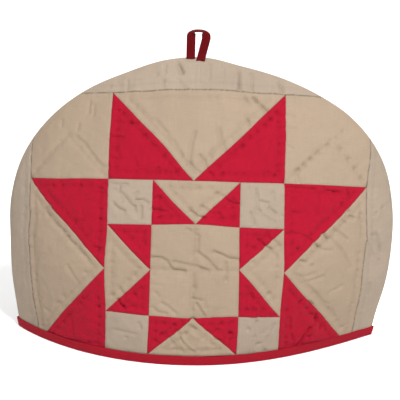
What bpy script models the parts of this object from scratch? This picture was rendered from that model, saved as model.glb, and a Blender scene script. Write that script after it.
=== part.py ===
"""A quilted tea cosy, standing open on its bound hem as it does over a pot.

Two padded panels meet in a seam that runs up one side, over the top and down the
other. Metres, +Z up, the pieced front faces -Y, the hem rests on Z = 0.
"""

import math

import bmesh
import bpy
import numpy as np

MM = 0.001

# Driving dimensions of the form
HALF_DEPTH = 73 * MM  # seam plane to the middle of either panel, at the hem
HEIGHT = 252 * MM  # hem to the top of the dome
SWELL = 0.18  # share by which the form is fuller towards the top, before it closes in
LEFT_FULLER = 0.2  # share by which the left half stands further out, per height of width
ROUNDNESS = 0.895  # 0.5 would be an ellipse, 1 a parabola
RIGHT_FLATTER = 0.15  # added to that at the right end of the hem, and felt near it
FLATTER_NEAR = 4  # power of the cosine above the hem by which this dies out
WALL = 5.5 * MM  # cloth, wadding and lining at a line of quilting
SEAM_GAP = 0.15 * MM  # each panel's distance from the seam plane

# The dome seam around the middle of the hem: angle above the hem line in degrees,
# radius on the right and radius on the left in millimetres
DOME_SEAM = (
    (0, 155, 162),
    (8, 161, 167),
    (16, 172, 175),
    (26, 188, 188),
    (36, 207, 207),
    (46, 225.5, 224),
    (58, 238, 237),
    (66, 241, 242),
    (74, 243.3, 245),
    (83, 246, 250),
    (90, 250.5, 250.5),
)

# Patchwork and quilting of the front, on the cloth laid flat
PATCH = 76.2 * MM  # side of the star's largest squares
BLOCK_LEFT = 4 * MM  # the star's middle lies this far left of the middle of the cloth
BLOCK_FOOT = 7.5 * MM  # foot of the inner star above the panels' lower edge
ROW_SAG = 14.4 * MM  # rows hang this much lower at the side strips than in the middle
ECHO = PATCH / 12  # quilting runs a quarter inch inside every patch
PUFF = 2.2 * MM  # rise of the wadding between the lines of quilting
PUFF_SPREAD = 4.5 * MM  # distance over which a line of quilting draws the cloth in

# Plain quilting of the back: a lattice of diagonal lines
LATTICE = 50.8 * MM

# Mesh pitches on the flat cloth
FRONT_PITCH = PATCH / 12
BACK_PITCH = LATTICE / 5
LINING_PITCH = PATCH / 6
EDGE_CHORDS = 40
WELD = 0.9 * MM

# Binding: a strip folded around the lower edge
STRIP = 1.2 * MM
STRIP_CLEAR = 0.6 * MM
STRIP_TOP = 8.5 * MM
PANEL_FOOT = STRIP + 0.3 * MM
FOLD_ROUND = 0.5 * MM
STRIP_STATIONS = 40

# Hanging loop: a folded tape
TAPE_WIDTH = 7.5 * MM
TAPE_THICK = 1.6 * MM
LOOP_SEAT = 0.3 * MM
LOOP_LEFT = -11.9 * MM  # middle of the left leg
LOOP_RIGHT_FOOT = -3.5 * MM
LOOP_RIGHT_TOP = 0.9 * MM
LOOP_BASE = HEIGHT - 1.3 * MM  # the dome seam at the loop, above the panels' foot
LOOP_SHOULDER = 15.5 * MM  # where the legs start to turn over
LOOP_RISE = 22.3 * MM  # top of the tape's middle line above the dome
LOOP_SQUARE = 0.6  # 1 would turn the tape over in a round arch, less makes it squarer

# Colours of the cloths
BEIGE = (0.46, 0.35, 0.26)
RED = (0.45, 0.012, 0.028)
DARK_RED = (0.16, 0.008, 0.012)

# Seams of the patchwork in patch sides from the star's middle line and the row at its
# foot: one end across and up, other end across and up
SEAMS = (
    (-2, -1, -2, 4),
    (2, -1, 2, 4),
    (-3, 3, 3, 3),
    (-2, 2, 2, 2),
    (-1, -1, -1, 3),
    (1, -1, 1, 3),
    (-1, 3, 0, 2),
    (0, 2, 1, 3),
    (-2, 2, -1, 1),
    (-1, 1, -2, 0),
    (2, 2, 1, 1),
    (1, 1, 2, 0),
    (-0.5, -1, -0.5, 2),
    (0.5, -1, 0.5, 2),
    (-1, 1.5, 1, 1.5),
    (-1, 0.5, 1, 0.5),
    (-0.5, 2, 0, 1.5),
    (0, 1.5, 0.5, 2),
    (-1, 1.5, -0.5, 1),
    (-0.5, 1, -1, 0.5),
    (1, 1.5, 0.5, 1),
    (0.5, 1, 1, 0.5),
    (-0.5, 0, 0, 0.5),
    (0, 0.5, 0.5, 0),
)

# Quilting that crosses patches: the large corner squares and the middle square
CROSSINGS = (
    (-2, 2, -1, 3),
    (-2, 3, -1, 2),
    (2, 2, 1, 3),
    (2, 3, 1, 2),
    (-0.5, 1, 0.5, 1),
    (0, 0.5, 0, 1.5),
)


def clear_scene():
    """Remove the objects that a new scene holds."""
    for thing in list(bpy.data.objects):
        bpy.data.objects.remove(thing, do_unlink=True)


def cloth_material(name, colour, roughness):
    """A plain material in the colour of one cloth."""
    material = bpy.data.materials.new(name)
    material.use_nodes = True
    shader = material.node_tree.nodes["Principled BSDF"]
    shader.inputs["Base Color"].default_value = (*colour, 1.0)
    shader.inputs["Roughness"].default_value = roughness
    shader.inputs["Metallic"].default_value = 0.0
    return material


def add_piece(name, mesh_data, material):
    """One sewn piece as a named object of the scene."""
    mesh = bpy.data.meshes.new(name)
    mesh_data.to_mesh(mesh)
    mesh_data.free()
    mesh.materials.append(material)
    mesh.shade_smooth()
    mesh.set_sharp_from_angle(angle=math.radians(50))
    piece = bpy.data.objects.new(name, mesh)
    bpy.context.scene.collection.objects.link(piece)
    return piece


# The form ---------------------------------------------------------------------------


def seam_radius(angle):
    """Radius of the dome seam at angles above the hem line, in radians."""
    right = [(turn, side) for turn, side, _ in DOME_SEAM]
    left = [(180 - turn, side) for turn, _, side in DOME_SEAM[-2::-1]]
    knots, radii = np.array(right + left, float).T
    slopes = np.gradient(radii, knots)
    turn = np.degrees(angle)
    at = np.clip(np.searchsorted(knots, turn, side="right") - 1, 0, len(knots) - 2)
    span = knots[at + 1] - knots[at]
    part = (turn - knots[at]) / span
    start = (1 + 2 * part) * (1 - part) ** 2 * radii[at]
    end = part**2 * (3 - 2 * part) * radii[at + 1]
    leaving = part * (1 - part) ** 2 * span * slopes[at]
    arriving = part**2 * (part - 1) * span * slopes[at + 1]
    return (start + end + leaving + arriving) * MM


def form_depth(x, z, grow=0.0):
    """Distance from the seam plane to the skin, or to one grown or shrunk from it."""
    reach = np.hypot(x, z) / (seam_radius(np.arctan2(z, x)) + grow)
    fullness = 1 + SWELL * z / HEIGHT - LEFT_FULLER * x / HEIGHT
    rightward = np.clip(x / np.maximum(np.hypot(x, z), MM), 0, 1)
    roundness = ROUNDNESS + RIGHT_FLATTER * rightward**FLATTER_NEAR
    return (HALF_DEPTH + grow) * fullness * (1 - np.clip(reach, 0, 1) ** 2) ** roundness


def form_slopes(x, z):
    """How fast the depth changes across and upwards, kept short of the seam's edge."""
    step = 0.25 * MM
    across = (form_depth(x + step, z) - form_depth(x - step, z)) / (2 * step)
    low = np.maximum(z - step, 0)
    upward = (form_depth(x, z + step) - form_depth(x, low)) / (z + step - low)
    return np.clip(across, -4, 4), np.clip(upward, -4, 4)


def laid_flat(x, z):
    """Where a place of the form lies on the flat cloth: across and up, along the skin."""
    share = (np.arange(40) + 0.5) / 40
    row_x = x[:, None] * share
    row_z = z[:, None] * np.ones(40)
    across = x * np.sqrt(1 + form_slopes(row_x, row_z)[0] ** 2).mean(axis=1)
    column_x = x[:, None] * np.ones(40)
    column_z = z[:, None] * share
    upward = z * np.sqrt(1 + form_slopes(column_x, column_z)[1] ** 2).mean(axis=1)
    return across, upward


def seam_laid_flat(count):
    """The dome seam from right to left: its angles, and its line on the flat cloth."""
    angles = np.linspace(0, math.pi, count)
    radii = seam_radius(angles)
    x, z = radii * np.cos(angles), radii * np.sin(angles)
    return angles, np.column_stack(laid_flat(x, z))


def hung(flat):
    """Where points of the flat cloth hang: angle around the hem's middle, and reach."""
    x, z = 0.9 * flat[:, 0], 0.95 * flat[:, 1]
    for _ in range(14):
        across, upward = laid_flat(x, z)
        x_slope, z_slope = form_slopes(x, z)
        x = x + 0.9 * (flat[:, 0] - across) / np.sqrt(1 + x_slope**2)
        z = np.maximum(z + 0.9 * (flat[:, 1] - upward) / np.sqrt(1 + z_slope**2), 0)
        angle = np.arctan2(z, x)
        reach = np.hypot(x, z) / seam_radius(angle)
        inside = np.minimum(reach, 0.992) / np.maximum(reach, 1e-9)
        x, z = x * inside, z * inside
    return np.arctan2(z, x), np.hypot(x, z) / seam_radius(np.arctan2(z, x))


def skin_points(angle, reach, grow, facing):
    """Points of a skin; facing is -1 for the front panel and 1 for the back."""
    radius = reach * (seam_radius(angle) + grow)
    x, z = radius * np.cos(angle), radius * np.sin(angle)
    y = facing * (SEAM_GAP + form_depth(x, z, grow))
    return np.column_stack((x, y, z + PANEL_FOOT))


# Quilting ---------------------------------------------------------------------------


def pattern_place(flat):
    """The star's own coordinates, in patch sides, of points of the flat cloth."""
    across = (flat[:, 0] + BLOCK_LEFT) / PATCH
    upward = (flat[:, 1] - BLOCK_FOOT + ROW_SAG * (across / 2) ** 2) / PATCH
    return np.column_stack((across, upward))


def distance_to(lines, places):
    """Distance from each place to the nearest of some straight lines."""
    nearest = np.full(len(places), np.inf)
    for x0, z0, x1, z1 in lines:
        start = np.array((x0, z0), float)
        along = np.array((x1, z1), float) - start
        share = np.clip((places - start) @ along / (along @ along), 0, 1)
        apart = np.linalg.norm(places - start - share[:, None] * along, axis=1)
        nearest = np.minimum(nearest, apart)
    return nearest


def front_quilting(flat):
    """Distance from points of the front to its nearest line of quilting."""
    places = pattern_place(flat)
    echo = np.abs(distance_to(SEAMS, places) * PATCH - ECHO)
    return np.minimum(echo, distance_to(CROSSINGS, places) * PATCH)


def back_quilting(flat):
    """Distance from points of the back to its nearest line of quilting."""
    falling = (flat[:, 0] + flat[:, 1]) / LATTICE
    rising = (flat[:, 0] - flat[:, 1]) / LATTICE
    apart = [np.abs(turn - np.round(turn)) for turn in (falling, rising)]
    return np.minimum(*apart) * LATTICE * math.sqrt(0.5)


def puff(flat, points, reach, quilting, pitch):
    """Rise of the wadding, dying out at the dome seam and clear of the binding."""
    drawn = np.exp(-((quilting(flat) / PUFF_SPREAD) ** 2))
    at_seam = np.clip((1 - reach) * HEIGHT / (3 * PUFF), 0, 1)
    at_hem = np.clip((points[:, 2] - STRIP_TOP - pitch) / (2 * PUFF), 0, 1)
    return PUFF * (1 - drawn) * at_seam * at_hem


def outward(points, facing):
    """Unit normals of the outer skin at some of its points."""
    x, z = points[:, 0], np.maximum(points[:, 2] - PANEL_FOOT, 0)
    across, upward = form_slopes(x, z)
    normals = np.column_stack((-across, facing * np.ones(len(x)), -upward))
    return normals / np.linalg.norm(normals, axis=1)[:, None]


# Panels -----------------------------------------------------------------------------


def flat_cloth(pitch, sag):
    """A grid on the flat cloth, cut along the dome seam and the hem."""
    cloth = bmesh.new()
    across_count = int(np.ceil(2.6 * PATCH / pitch))
    up_count = int(np.ceil(3.9 * PATCH / pitch))
    columns = np.arange(-across_count, across_count + 1) * pitch
    rows = np.arange(-int(np.ceil(0.5 * PATCH / pitch)), up_count) * pitch
    grid = []
    for row in rows:
        line = []
        for column in columns:
            upward = row + BLOCK_FOOT - sag * (column / (2 * PATCH)) ** 2
            line.append(cloth.verts.new((column - BLOCK_LEFT, upward, 0)))
        grid.append(line)
    for low, high in zip(grid, grid[1:]):
        for at in range(len(columns) - 1):
            cloth.faces.new((low[at], low[at + 1], high[at + 1], high[at]))
    corners = seam_laid_flat(EDGE_CHORDS + 1)[1]
    for start, end in zip(corners, corners[1:]):
        cut_away(cloth, start, (end[1] - start[1], start[0] - end[0]))
    cut_away(cloth, (0, 0), (0, -1))
    bmesh.ops.remove_doubles(cloth, verts=cloth.verts, dist=WELD)
    return cloth


def cut_away(cloth, point, outside):
    """Cut flat cloth along a straight line and drop what lies outside it."""
    parts = list(cloth.verts) + list(cloth.edges) + list(cloth.faces)
    bmesh.ops.bisect_plane(
        cloth,
        geom=parts,
        dist=1e-7,
        plane_co=(point[0], point[1], 0),
        plane_no=(outside[0], outside[1], 0),
        clear_outer=True,
    )


def edge_kinds(cloth, flat):
    """Which vertices lie on the hem and which on the dome seam."""
    on_edge = np.array([vertex.is_boundary for vertex in cloth.verts])
    on_hem = on_edge & (flat[:, 1] < WELD)
    on_seam = on_edge & ~on_hem
    hem_ends = np.flatnonzero(on_hem)
    for end in (hem_ends[flat[hem_ends, 0].argmin()], hem_ends[flat[hem_ends, 0].argmax()]):
        on_seam[end] = True
    return on_hem, on_seam


def seam_angles(flat):
    """Angle on the form of points of the flat cloth that lie on the dome seam."""
    angles, line = seam_laid_flat(361)
    turns = np.arctan2(line[:, 1], line[:, 0])
    return np.interp(np.arctan2(flat[:, 1], flat[:, 0]), turns, angles)


def hang_face(pitch, sag, grow, facing, quilting):
    """One face of a panel: its points, its faces and the order of its two edges."""
    cloth = flat_cloth(pitch, sag)
    cloth.verts.ensure_lookup_table()
    flat = np.array([vertex.co[:2] for vertex in cloth.verts])
    on_hem, on_seam = edge_kinds(cloth, flat)
    angle, reach = hung(flat)
    angle[on_seam], reach[on_seam] = seam_angles(flat[on_seam]), 1.0
    angle[on_hem] = np.where(flat[on_hem, 0] > 0, 0.0, math.pi)
    points = skin_points(angle, reach, grow, facing)
    if quilting:
        rise = puff(flat, points, reach, quilting, pitch)
        points = points + outward(points, facing) * rise[:, None]
    faces = [[vertex.index for vertex in face.verts] for face in cloth.faces]
    cloth.free()
    seam_order = sorted(np.flatnonzero(on_seam), key=lambda at: angle[at])
    hem_order = sorted(np.flatnonzero(on_hem), key=lambda at: points[at, 0])
    return points, faces, seam_order, hem_order


def lace(body, first, second, place):
    """Fill the strip between two rows of vertices, whatever their numbers."""
    one = other = 0
    while one < len(first) - 1 or other < len(second) - 1:
        step_first = other == len(second) - 1
        if one < len(first) - 1 and not step_first:
            step_first = place(first[one + 1]) <= place(second[other + 1])
        if step_first:
            body.faces.new((first[one], first[one + 1], second[other]))
            one += 1
        else:
            body.faces.new((first[one], second[other + 1], second[other]))
            other += 1


def panel(name, facing, pitch, sag, quilting, material):
    """A padded panel: quilted outside, plain inside, closed along seam and hem."""
    outside = hang_face(pitch, sag, 0.0, facing, quilting)
    inside = hang_face(LINING_PITCH, 0.0, -WALL, facing, None)
    body = bmesh.new()
    edges = []
    for points, faces, seam_order, hem_order in (outside, inside):
        verts = [body.verts.new(point) for point in points]
        for face in faces:
            body.faces.new([verts[at] for at in face])
        edges.append(([verts[at] for at in seam_order], [verts[at] for at in hem_order]))

    def turn(vertex):
        return math.atan2(vertex.co.z - PANEL_FOOT, vertex.co.x)

    def across(vertex):
        return vertex.co.x

    lace(body, edges[0][0], edges[1][0], turn)
    lace(body, edges[0][1], edges[1][1], across)
    bmesh.ops.triangulate(body, faces=body.faces, quad_method="SHORT_EDGE")
    bmesh.ops.recalc_face_normals(body, faces=body.faces)
    return add_piece(name, body, material)


# Binding ----------------------------------------------------------------------------


def hem_reach(height, grow, side):
    """How far the hem line reaches to one side at a height above the panels' foot."""
    x = side * 160 * MM
    for _ in range(12):
        radius = seam_radius(np.arctan2(height, x)) + grow
        x = side * math.sqrt(radius**2 - height**2)
    return x


def binding_ring(grow, height):
    """One turn around the hem: from the left corner along the front and back again."""
    level = max(height - PANEL_FOOT, 0.0)
    left, right = (hem_reach(level, grow, side) for side in (-1, 1))
    share = (1 - np.cos(np.linspace(0, math.pi, STRIP_STATIONS + 1))) / 2
    x = left + (right - left) * share
    y = form_depth(x, np.full_like(x, level), grow)
    y[0] = y[-1] = 0.0
    front = [(x[at], -y[at], height) for at in range(STRIP_STATIONS)]
    back = [(x[at], y[at], height) for at in range(STRIP_STATIONS, 0, -1)]
    return front + back


def hem_binding(material):
    """The strip that is folded around the lower edge, outside, under and inside."""
    outer = STRIP_CLEAR + STRIP
    inner = -WALL - STRIP_CLEAR - STRIP
    section = (
        (outer - FOLD_ROUND, 0),
        (outer, FOLD_ROUND),
        (outer, STRIP_TOP / 2),
        (outer, STRIP_TOP),
        (STRIP_CLEAR, STRIP_TOP),
        (STRIP_CLEAR, STRIP),
        (inner + STRIP, STRIP),
        (inner + STRIP, STRIP_TOP),
        (inner, STRIP_TOP),
        (inner, FOLD_ROUND),
        (inner + FOLD_ROUND, 0),
    )
    strip = bmesh.new()
    rings = []
    for grow, height in section:
        rings.append([strip.verts.new(point) for point in binding_ring(grow, height)])
    count = len(rings[0])
    for ring, following in zip(rings, rings[1:] + rings[:1]):
        for at in range(count):
            after = (at + 1) % count
            strip.faces.new((ring[at], ring[after], following[after], following[at]))
    bmesh.ops.triangulate(strip, faces=strip.faces)
    bmesh.ops.recalc_face_normals(strip, faces=strip.faces)
    return add_piece("hem_binding", strip, material)


# Hanging loop -----------------------------------------------------------------------


def loop_route():
    """The tape's middle line up the left leg, over and down, and its turn over."""
    dome = PANEL_FOOT + LOOP_BASE + LOOP_SEAT
    middle = (LOOP_LEFT + LOOP_RIGHT_TOP) / 2
    half = (LOOP_RIGHT_TOP - LOOP_LEFT) / 2
    route = []
    for share in np.linspace(0, 1, 6):
        route.append((LOOP_LEFT, dome + share * LOOP_SHOULDER, 0.0))
    for angle in np.linspace(0, math.pi, 14)[1:-1]:
        level = math.cos(angle)
        x = middle - half * math.copysign(abs(level) ** LOOP_SQUARE, level)
        bow = math.sin(angle) ** LOOP_SQUARE
        z = dome + LOOP_SHOULDER + (LOOP_RISE - LOOP_SHOULDER) * bow
        route.append((x, z, math.pi / 2 * (1 - level**3)))
    for share in np.linspace(1, 0, 6):
        x = LOOP_RIGHT_FOOT + share * (LOOP_RIGHT_TOP - LOOP_RIGHT_FOOT)
        route.append((x, dome + share * LOOP_SHOULDER, math.pi))
    return route


def hanging_loop(material):
    """A flat tape whose legs face the front and whose top lies flat."""
    route = loop_route()
    tape = bmesh.new()
    sections = []
    for at, (x, z, turned) in enumerate(route):
        before, after = route[max(at - 1, 0)], route[min(at + 1, len(route) - 1)]
        along = np.array((after[0] - before[0], 0.0, after[1] - before[1]))
        if turned in (0.0, math.pi):
            along = np.array((0.0, 0.0, along[2]))
        width = np.array((math.cos(turned), -math.sin(turned), 0.0))
        thick = np.cross(along / np.linalg.norm(along), width)
        thick /= np.linalg.norm(thick)
        corners = ((-1, -1), (1, -1), (1, 1), (-1, 1))
        section = []
        for wide, high in corners:
            place = np.array((x, 0.0, z)) + width * wide * TAPE_WIDTH / 2
            section.append(tape.verts.new(place + thick * high * TAPE_THICK / 2))
        sections.append(section)
    for section, following in zip(sections, sections[1:]):
        for at in range(4):
            after = (at + 1) % 4
            tape.faces.new((section[at], section[after], following[after], following[at]))
    tape.faces.new(sections[0])
    tape.faces.new(sections[-1])
    bmesh.ops.triangulate(tape, faces=tape.faces)
    bmesh.ops.recalc_face_normals(tape, faces=tape.faces)
    return add_piece("hanging_loop", tape, material)


def main():
    """Build the cosy."""
    clear_scene()
    patchwork = cloth_material("patchwork_cotton", BEIGE, 0.9)
    plain = cloth_material("plain_cotton", BEIGE, 0.9)
    binding = cloth_material("binding_cotton", RED, 0.85)
    tape = cloth_material("loop_tape", DARK_RED, 0.8)
    panel("front_panel", -1, FRONT_PITCH, ROW_SAG, front_quilting, patchwork)
    panel("back_panel", 1, BACK_PITCH, 0.0, back_quilting, plain)
    hem_binding(binding)
    hanging_loop(tape)


main()
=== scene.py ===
"""Quilted tea cosy: the looks of its pieced front, plain back, bound hem and tape loop.

Metres, +Z up. The front faces -Y and the hem rests on Z = 0. The form is the one that
the solids have; here it carries the patchwork, the quilting, the creases and the
weave.
"""

import math

import bmesh
import bpy
import numpy as np
from mathutils import Matrix, Vector


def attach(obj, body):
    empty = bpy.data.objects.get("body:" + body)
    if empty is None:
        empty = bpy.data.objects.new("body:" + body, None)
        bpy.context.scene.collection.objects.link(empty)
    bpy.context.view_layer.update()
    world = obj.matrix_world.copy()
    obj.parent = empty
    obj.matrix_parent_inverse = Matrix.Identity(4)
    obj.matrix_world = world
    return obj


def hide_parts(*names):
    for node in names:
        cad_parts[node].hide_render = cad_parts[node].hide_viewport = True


bl_info = {
    "name": "Quilted Tea Cosy",
    "version": (1, 0, 0),
    "blender": (4, 5, 0),
    "location": "3D View > Sidebar > Tea Cosy",
    "description": "Dresses a two panel tea cosy with patchwork, quilting and binding",
    "category": "Object",
}

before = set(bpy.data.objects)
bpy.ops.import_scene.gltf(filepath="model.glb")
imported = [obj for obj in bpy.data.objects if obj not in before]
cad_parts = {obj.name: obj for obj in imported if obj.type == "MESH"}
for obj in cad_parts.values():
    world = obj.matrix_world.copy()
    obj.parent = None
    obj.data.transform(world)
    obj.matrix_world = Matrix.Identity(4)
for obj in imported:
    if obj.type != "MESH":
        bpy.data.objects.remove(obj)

MM = 0.001
BODY = "root"

# The form, as the solids have it ----------------------------------------------------
HALF_DEPTH = 73 * MM
HEIGHT = 252 * MM
SWELL = 0.18  # share by which the form is fuller at the top than at the hem
LEFT_FULLER = 0.2  # and on the left, one height away from the middle
ROUNDNESS = 0.895  # power by which the form rounds towards the dome seam
RIGHT_FLATTER = 0.15  # added to it at the right end of the hem
FLATTER_NEAR = 4  # power that keeps this near that end
WALL = 5.5 * MM
STRIP = 1.2 * MM  # thickness of the binding
STRIP_CLEAR = 0.6 * MM
STRIP_TOP = 8.5 * MM
PANEL_FOOT = STRIP + 0.3 * MM

SEAM_GAP = 0.02 * MM  # here the dome seam is drawn shut, so that no light passes it

# The dome seam around the middle of the hem: angle above the hem line in degrees,
# radius on the right and radius on the left in millimetres
DOME_SEAM = (
    (0, 155, 162),
    (8, 161, 167),
    (16, 172, 175),
    (26, 188, 188),
    (36, 207, 207),
    (46, 225.5, 224),
    (58, 238, 237),
    (66, 241, 242),
    (74, 243.3, 245),
    (83, 246, 250),
    (90, 250.5, 250.5),
)

# Arc lengths along the skin are worked out on a grid of this step and reach
ARC_STEP = 0.5 * MM
ARC_COLUMNS = 380
ARC_ROWS = 520
SLOPE_STEP = 0.25 * MM  # slopes are taken over this much to either side
STEEPEST = 4  # the slope is kept under this, as it has no end at the dome seam
SEAM_POINTS = 721  # points of the dome seam on the flat cloth
NEAREST_SEAM = 0.9985  # reach of the last points inside the dome seam

# Places on the form are found in rounds, from a first guess and by a share of the miss
FIRST_GUESS = (0.9, 0.95)
ROUNDS = 16
STRIDE = 0.9

# Patchwork, on the cloth laid flat ---------------------------------------------------
BLOCK_LEFT = 4 * MM  # the star's middle lies this far left of the middle of the cloth
BLOCK_FOOT = 7.5 * MM  # foot of the inner star above the panels' lower edge
ROW_SAG = 14.4 * MM  # rows hang this much lower at the side strips than in the middle
STAR_MIDDLE = 1.0  # patch sides from the inner star's foot up to the star's middle
STRIPS_TOP = 3.0  # the row where the top strip begins
STRIPS_SIDE = 2.0  # the columns where the side strips begin
STEPS = 80  # lattice steps in the side of a patch
FRONT_REACH = (3, (1, 4))  # patch sides to each side, below the inner star and above
SNAP = 0.35  # share of a step within which a lattice point is drawn to the outline
NEAR_EDGE = 3  # steps within which the outline is looked for
CROSSED = 0.1  # share of a step within which a line crosses a cell's middle
WELD = 0.002 * MM  # points this close are joined
ON_HEM = 0.01 * MM  # edge points up to this height lie on the hem

# How the sewn seams wander: place across and up in patch sides, shift to the right
# and shift upwards in millimetres
WANDER = (
    (-1, 3, 1.6, -0.4),
    (0, 3, 0, 1.0),
    (1, 3, -1.7, -0.5),
    (-2, 2, -0.5, 0.0),
    (-1, 2, 1.0, 1.1),
    (-0.5, 2, 1.9, 0.4),
    (0, 2, -3.0, -0.4),
    (0.5, 2, -1.1, -0.9),
    (1, 2, -1.3, -0.3),
    (2, 2, -1.0, -1.6),
    (-1, 1.5, 1.3, 1.1),
    (-0.5, 1.5, 1.3, 1.0),
    (0, 1.5, 0, 2.0),
    (0.5, 1.5, -1.2, -0.7),
    (1, 1.5, -0.7, -1.0),
    (-1, 1, -1.3, 1.0),
    (-0.5, 1, 1.0, 0.8),
    (0.5, 1, -0.3, 1.7),
    (1, 1, 0.8, -0.3),
    (-1, 0.5, 0.1, 0.9),
    (-0.5, 0.5, 0.4, -2.1),
    (0, 0.5, -0.8, -4.2),
    (0.5, 0.5, 0.4, -2.5),
    (1, 0.5, -0.7, -3.6),
    (-1, 0, -1.3, 0),
    (-0.5, 0, -1.0, 0),
    (0.5, 0, -0.4, 0),
    (1, 0, 0.3, 0),
    (-2, 1, -5.4, 0),
    (-2, 0.65, -4.0, 0),
    (-2, 0.3, 1.2, 0),
    (2, 2.4, 3.7, 0),
    (2, 1.85, 3.0, 0),
    (2, 1.3, 5.6, 0),
    (2, 0.75, 6.2, 0),
    (2, 0.3, 7.5, 0),
    (1.8, 0.15, -5.0, 0),
    (1.5, 0.5, 1.0, 0),
)
WANDER_REACH = 0.3  # patch sides over which one row of that table is felt
WANDER_REST = 0.05  # how much weight there is for no shift at all

# Quilting that crosses patches: the upper corner squares and the middle square
CROSSINGS = (
    (-2, 2, -1.5, 2.5),
    (-1.5, 2.5, -1, 2),
    (1, 2, 1.5, 2.5),
    (1.5, 2.5, 2, 2),
    (-0.5, 1, 0.5, 1),
    (0, 0.5, 0, 1.5),
)

# Plain quilting of the back, and the lining
LATTICE = 50.8 * MM
BACK_STEPS = 28  # lattice steps in one repeat of the back's quilting
BACK_REACH = (5, (1, 6))  # repeats to each side, below the hem and above it
RISING_FROM = 40  # number of the first rising line, past those of the falling ones
LINING_UNIT = 60 * MM
LINING_STEPS = 12
LINING_REACH = (4, (1, 6))

# Binding, in millimetres
STRIP_STATIONS = 320  # sections from one end of the hem to the other
BULGE = 0.2  # how far the middle of the strip stands out
ROUNDED = 0.5  # how far its lower edges are rounded off
ROUNDED_MID = 0.15  # how far the rounding's middle is from either face
STRIP_WAVES = ((0.35, 16), (0.15, 5))  # height and length of its upper edge's waves

# Hanging loop: a folded tape, places as on the solid
TAPE_WIDTH = 7.5 * MM
TAPE_THICK = 1.6 * MM
TAPE_AROUND = 24  # points around its section
TAPE_SQUARE = (0.5, 0.7)  # powers that square its section, across and through
LEG_POINTS = 17
TOP_POINTS = 41
LOOP_SEAT = 0.3 * MM
LOOP_LEFT = -11.9 * MM
LOOP_RIGHT_FOOT = -3.5 * MM
LOOP_RIGHT_TOP = 0.9 * MM
LOOP_BASE = HEIGHT - 1.3 * MM
LOOP_SHOULDER = 15.5 * MM
LOOP_RISE = 22.3 * MM
LOOP_SQUARE = 0.6  # power that squares its top
LOOP_FEET = ((1.3, 2.3), (2.8, 3.7))  # left, right: below the dome seam, ahead of it
LOOP_BEND = 7 * MM  # height over which the legs come back above the seam

# Relief of the cloth, in millimetres but for shares and factors
DRAW_IN = 2.9  # distance over which a line of quilting draws the cloth in
SEAM_DITCH = 0.55
SEAM_DITCH_WIDTH = 0.7
STRIP_SEAMS = 3  # the first seams, those of the border strips, get the darkest painted shade
PATCH_SEAM_HIDDEN = 0.5  # the others' painted shade is that of a place this much further away
PRESSED = 0.25  # the red side of a seam holds the turnings and stands this much higher
TURNING = 6.0  # width of the turnings
STITCH_DIMPLE = (0.95, 2.2, 1.4)  # depth, half length across the line, half width
SEAM_PUCKER = (0.5, 4.5, 1.6)  # the same for the puckers that cross a sewn seam
PUCKER_PITCH = 10.5
SWELLS = ((0.5, 15.0), (0.6, 36.0), (0.2, 6.0), (0.1, 3.2))  # height and size
CRINKLES = (0.2, 8.0)  # height and size of the small ones
FOLDED = 2  # the front's crinkles are folded sharp and this many times as high
BUSY = 0.7  # how much of them shows all over the front
INNER_BUSIER, RED_BUSIER = 0.6, 1.8  # and how much more on the inner star, on the red
BUSIER_FROM_SEAM = 3  # distance from a seam over which that grows
TOP_CRINKLES = (0.8, 6.0, 0.25)  # the top strip's: height, size, width over height
TOP_CRINKLED, TOP_GROWTH = 2.9, 10  # row where they begin, and growth per patch side
EDGE_FADE = 5.0  # the relief dies out over this distance from the dome seam and hem
LIT_WALL, SHADED_WALL = 1.3, 0.85  # a crease's width to its lower left, upper right
CREASE_REACH = 4  # half widths within which a crease is felt
DENT = 1.8  # half width of a round dent
CREASED = 1.9  # all creases and dents are this many times as deep as listed
RED_CREASED = 1.1  # and in the red this many times more
RED_DEEPER = 2.0  # stitches and puckers are this many times as deep in the red
STRIPS_DRAWN = 0.4  # and this share, as the quilting is, in the strips and inner corners

# Nets of random values for the swells, and random draws for the dimples along lines
NET = 64  # values along the side of a net
NET_TURNS = (0.5, 1.3)  # how far the two nets are turned, in radians
NET_SPREAD = 0.7  # highest value of one net
DRAWS = 1024  # dimples that are drawn before they repeat
NEXT_LINE = 61  # draws from the first dimple of a line to that of the next
WEAKEST, UNEVEN = 0.3, 1.6  # lowest strength, and the power that makes weak ones common
STRAY = 0.18  # share of the pitch by which a dimple may lie off its place
TINT_SEED, STITCH_SEED, PUCKER_SEED = 3, 5, 7
BACK_SEED, TOP_SEED, FRONT_SEED, SWELL_SEED, WAVE_SEED = 17, 18, 19, 20, 31

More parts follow.
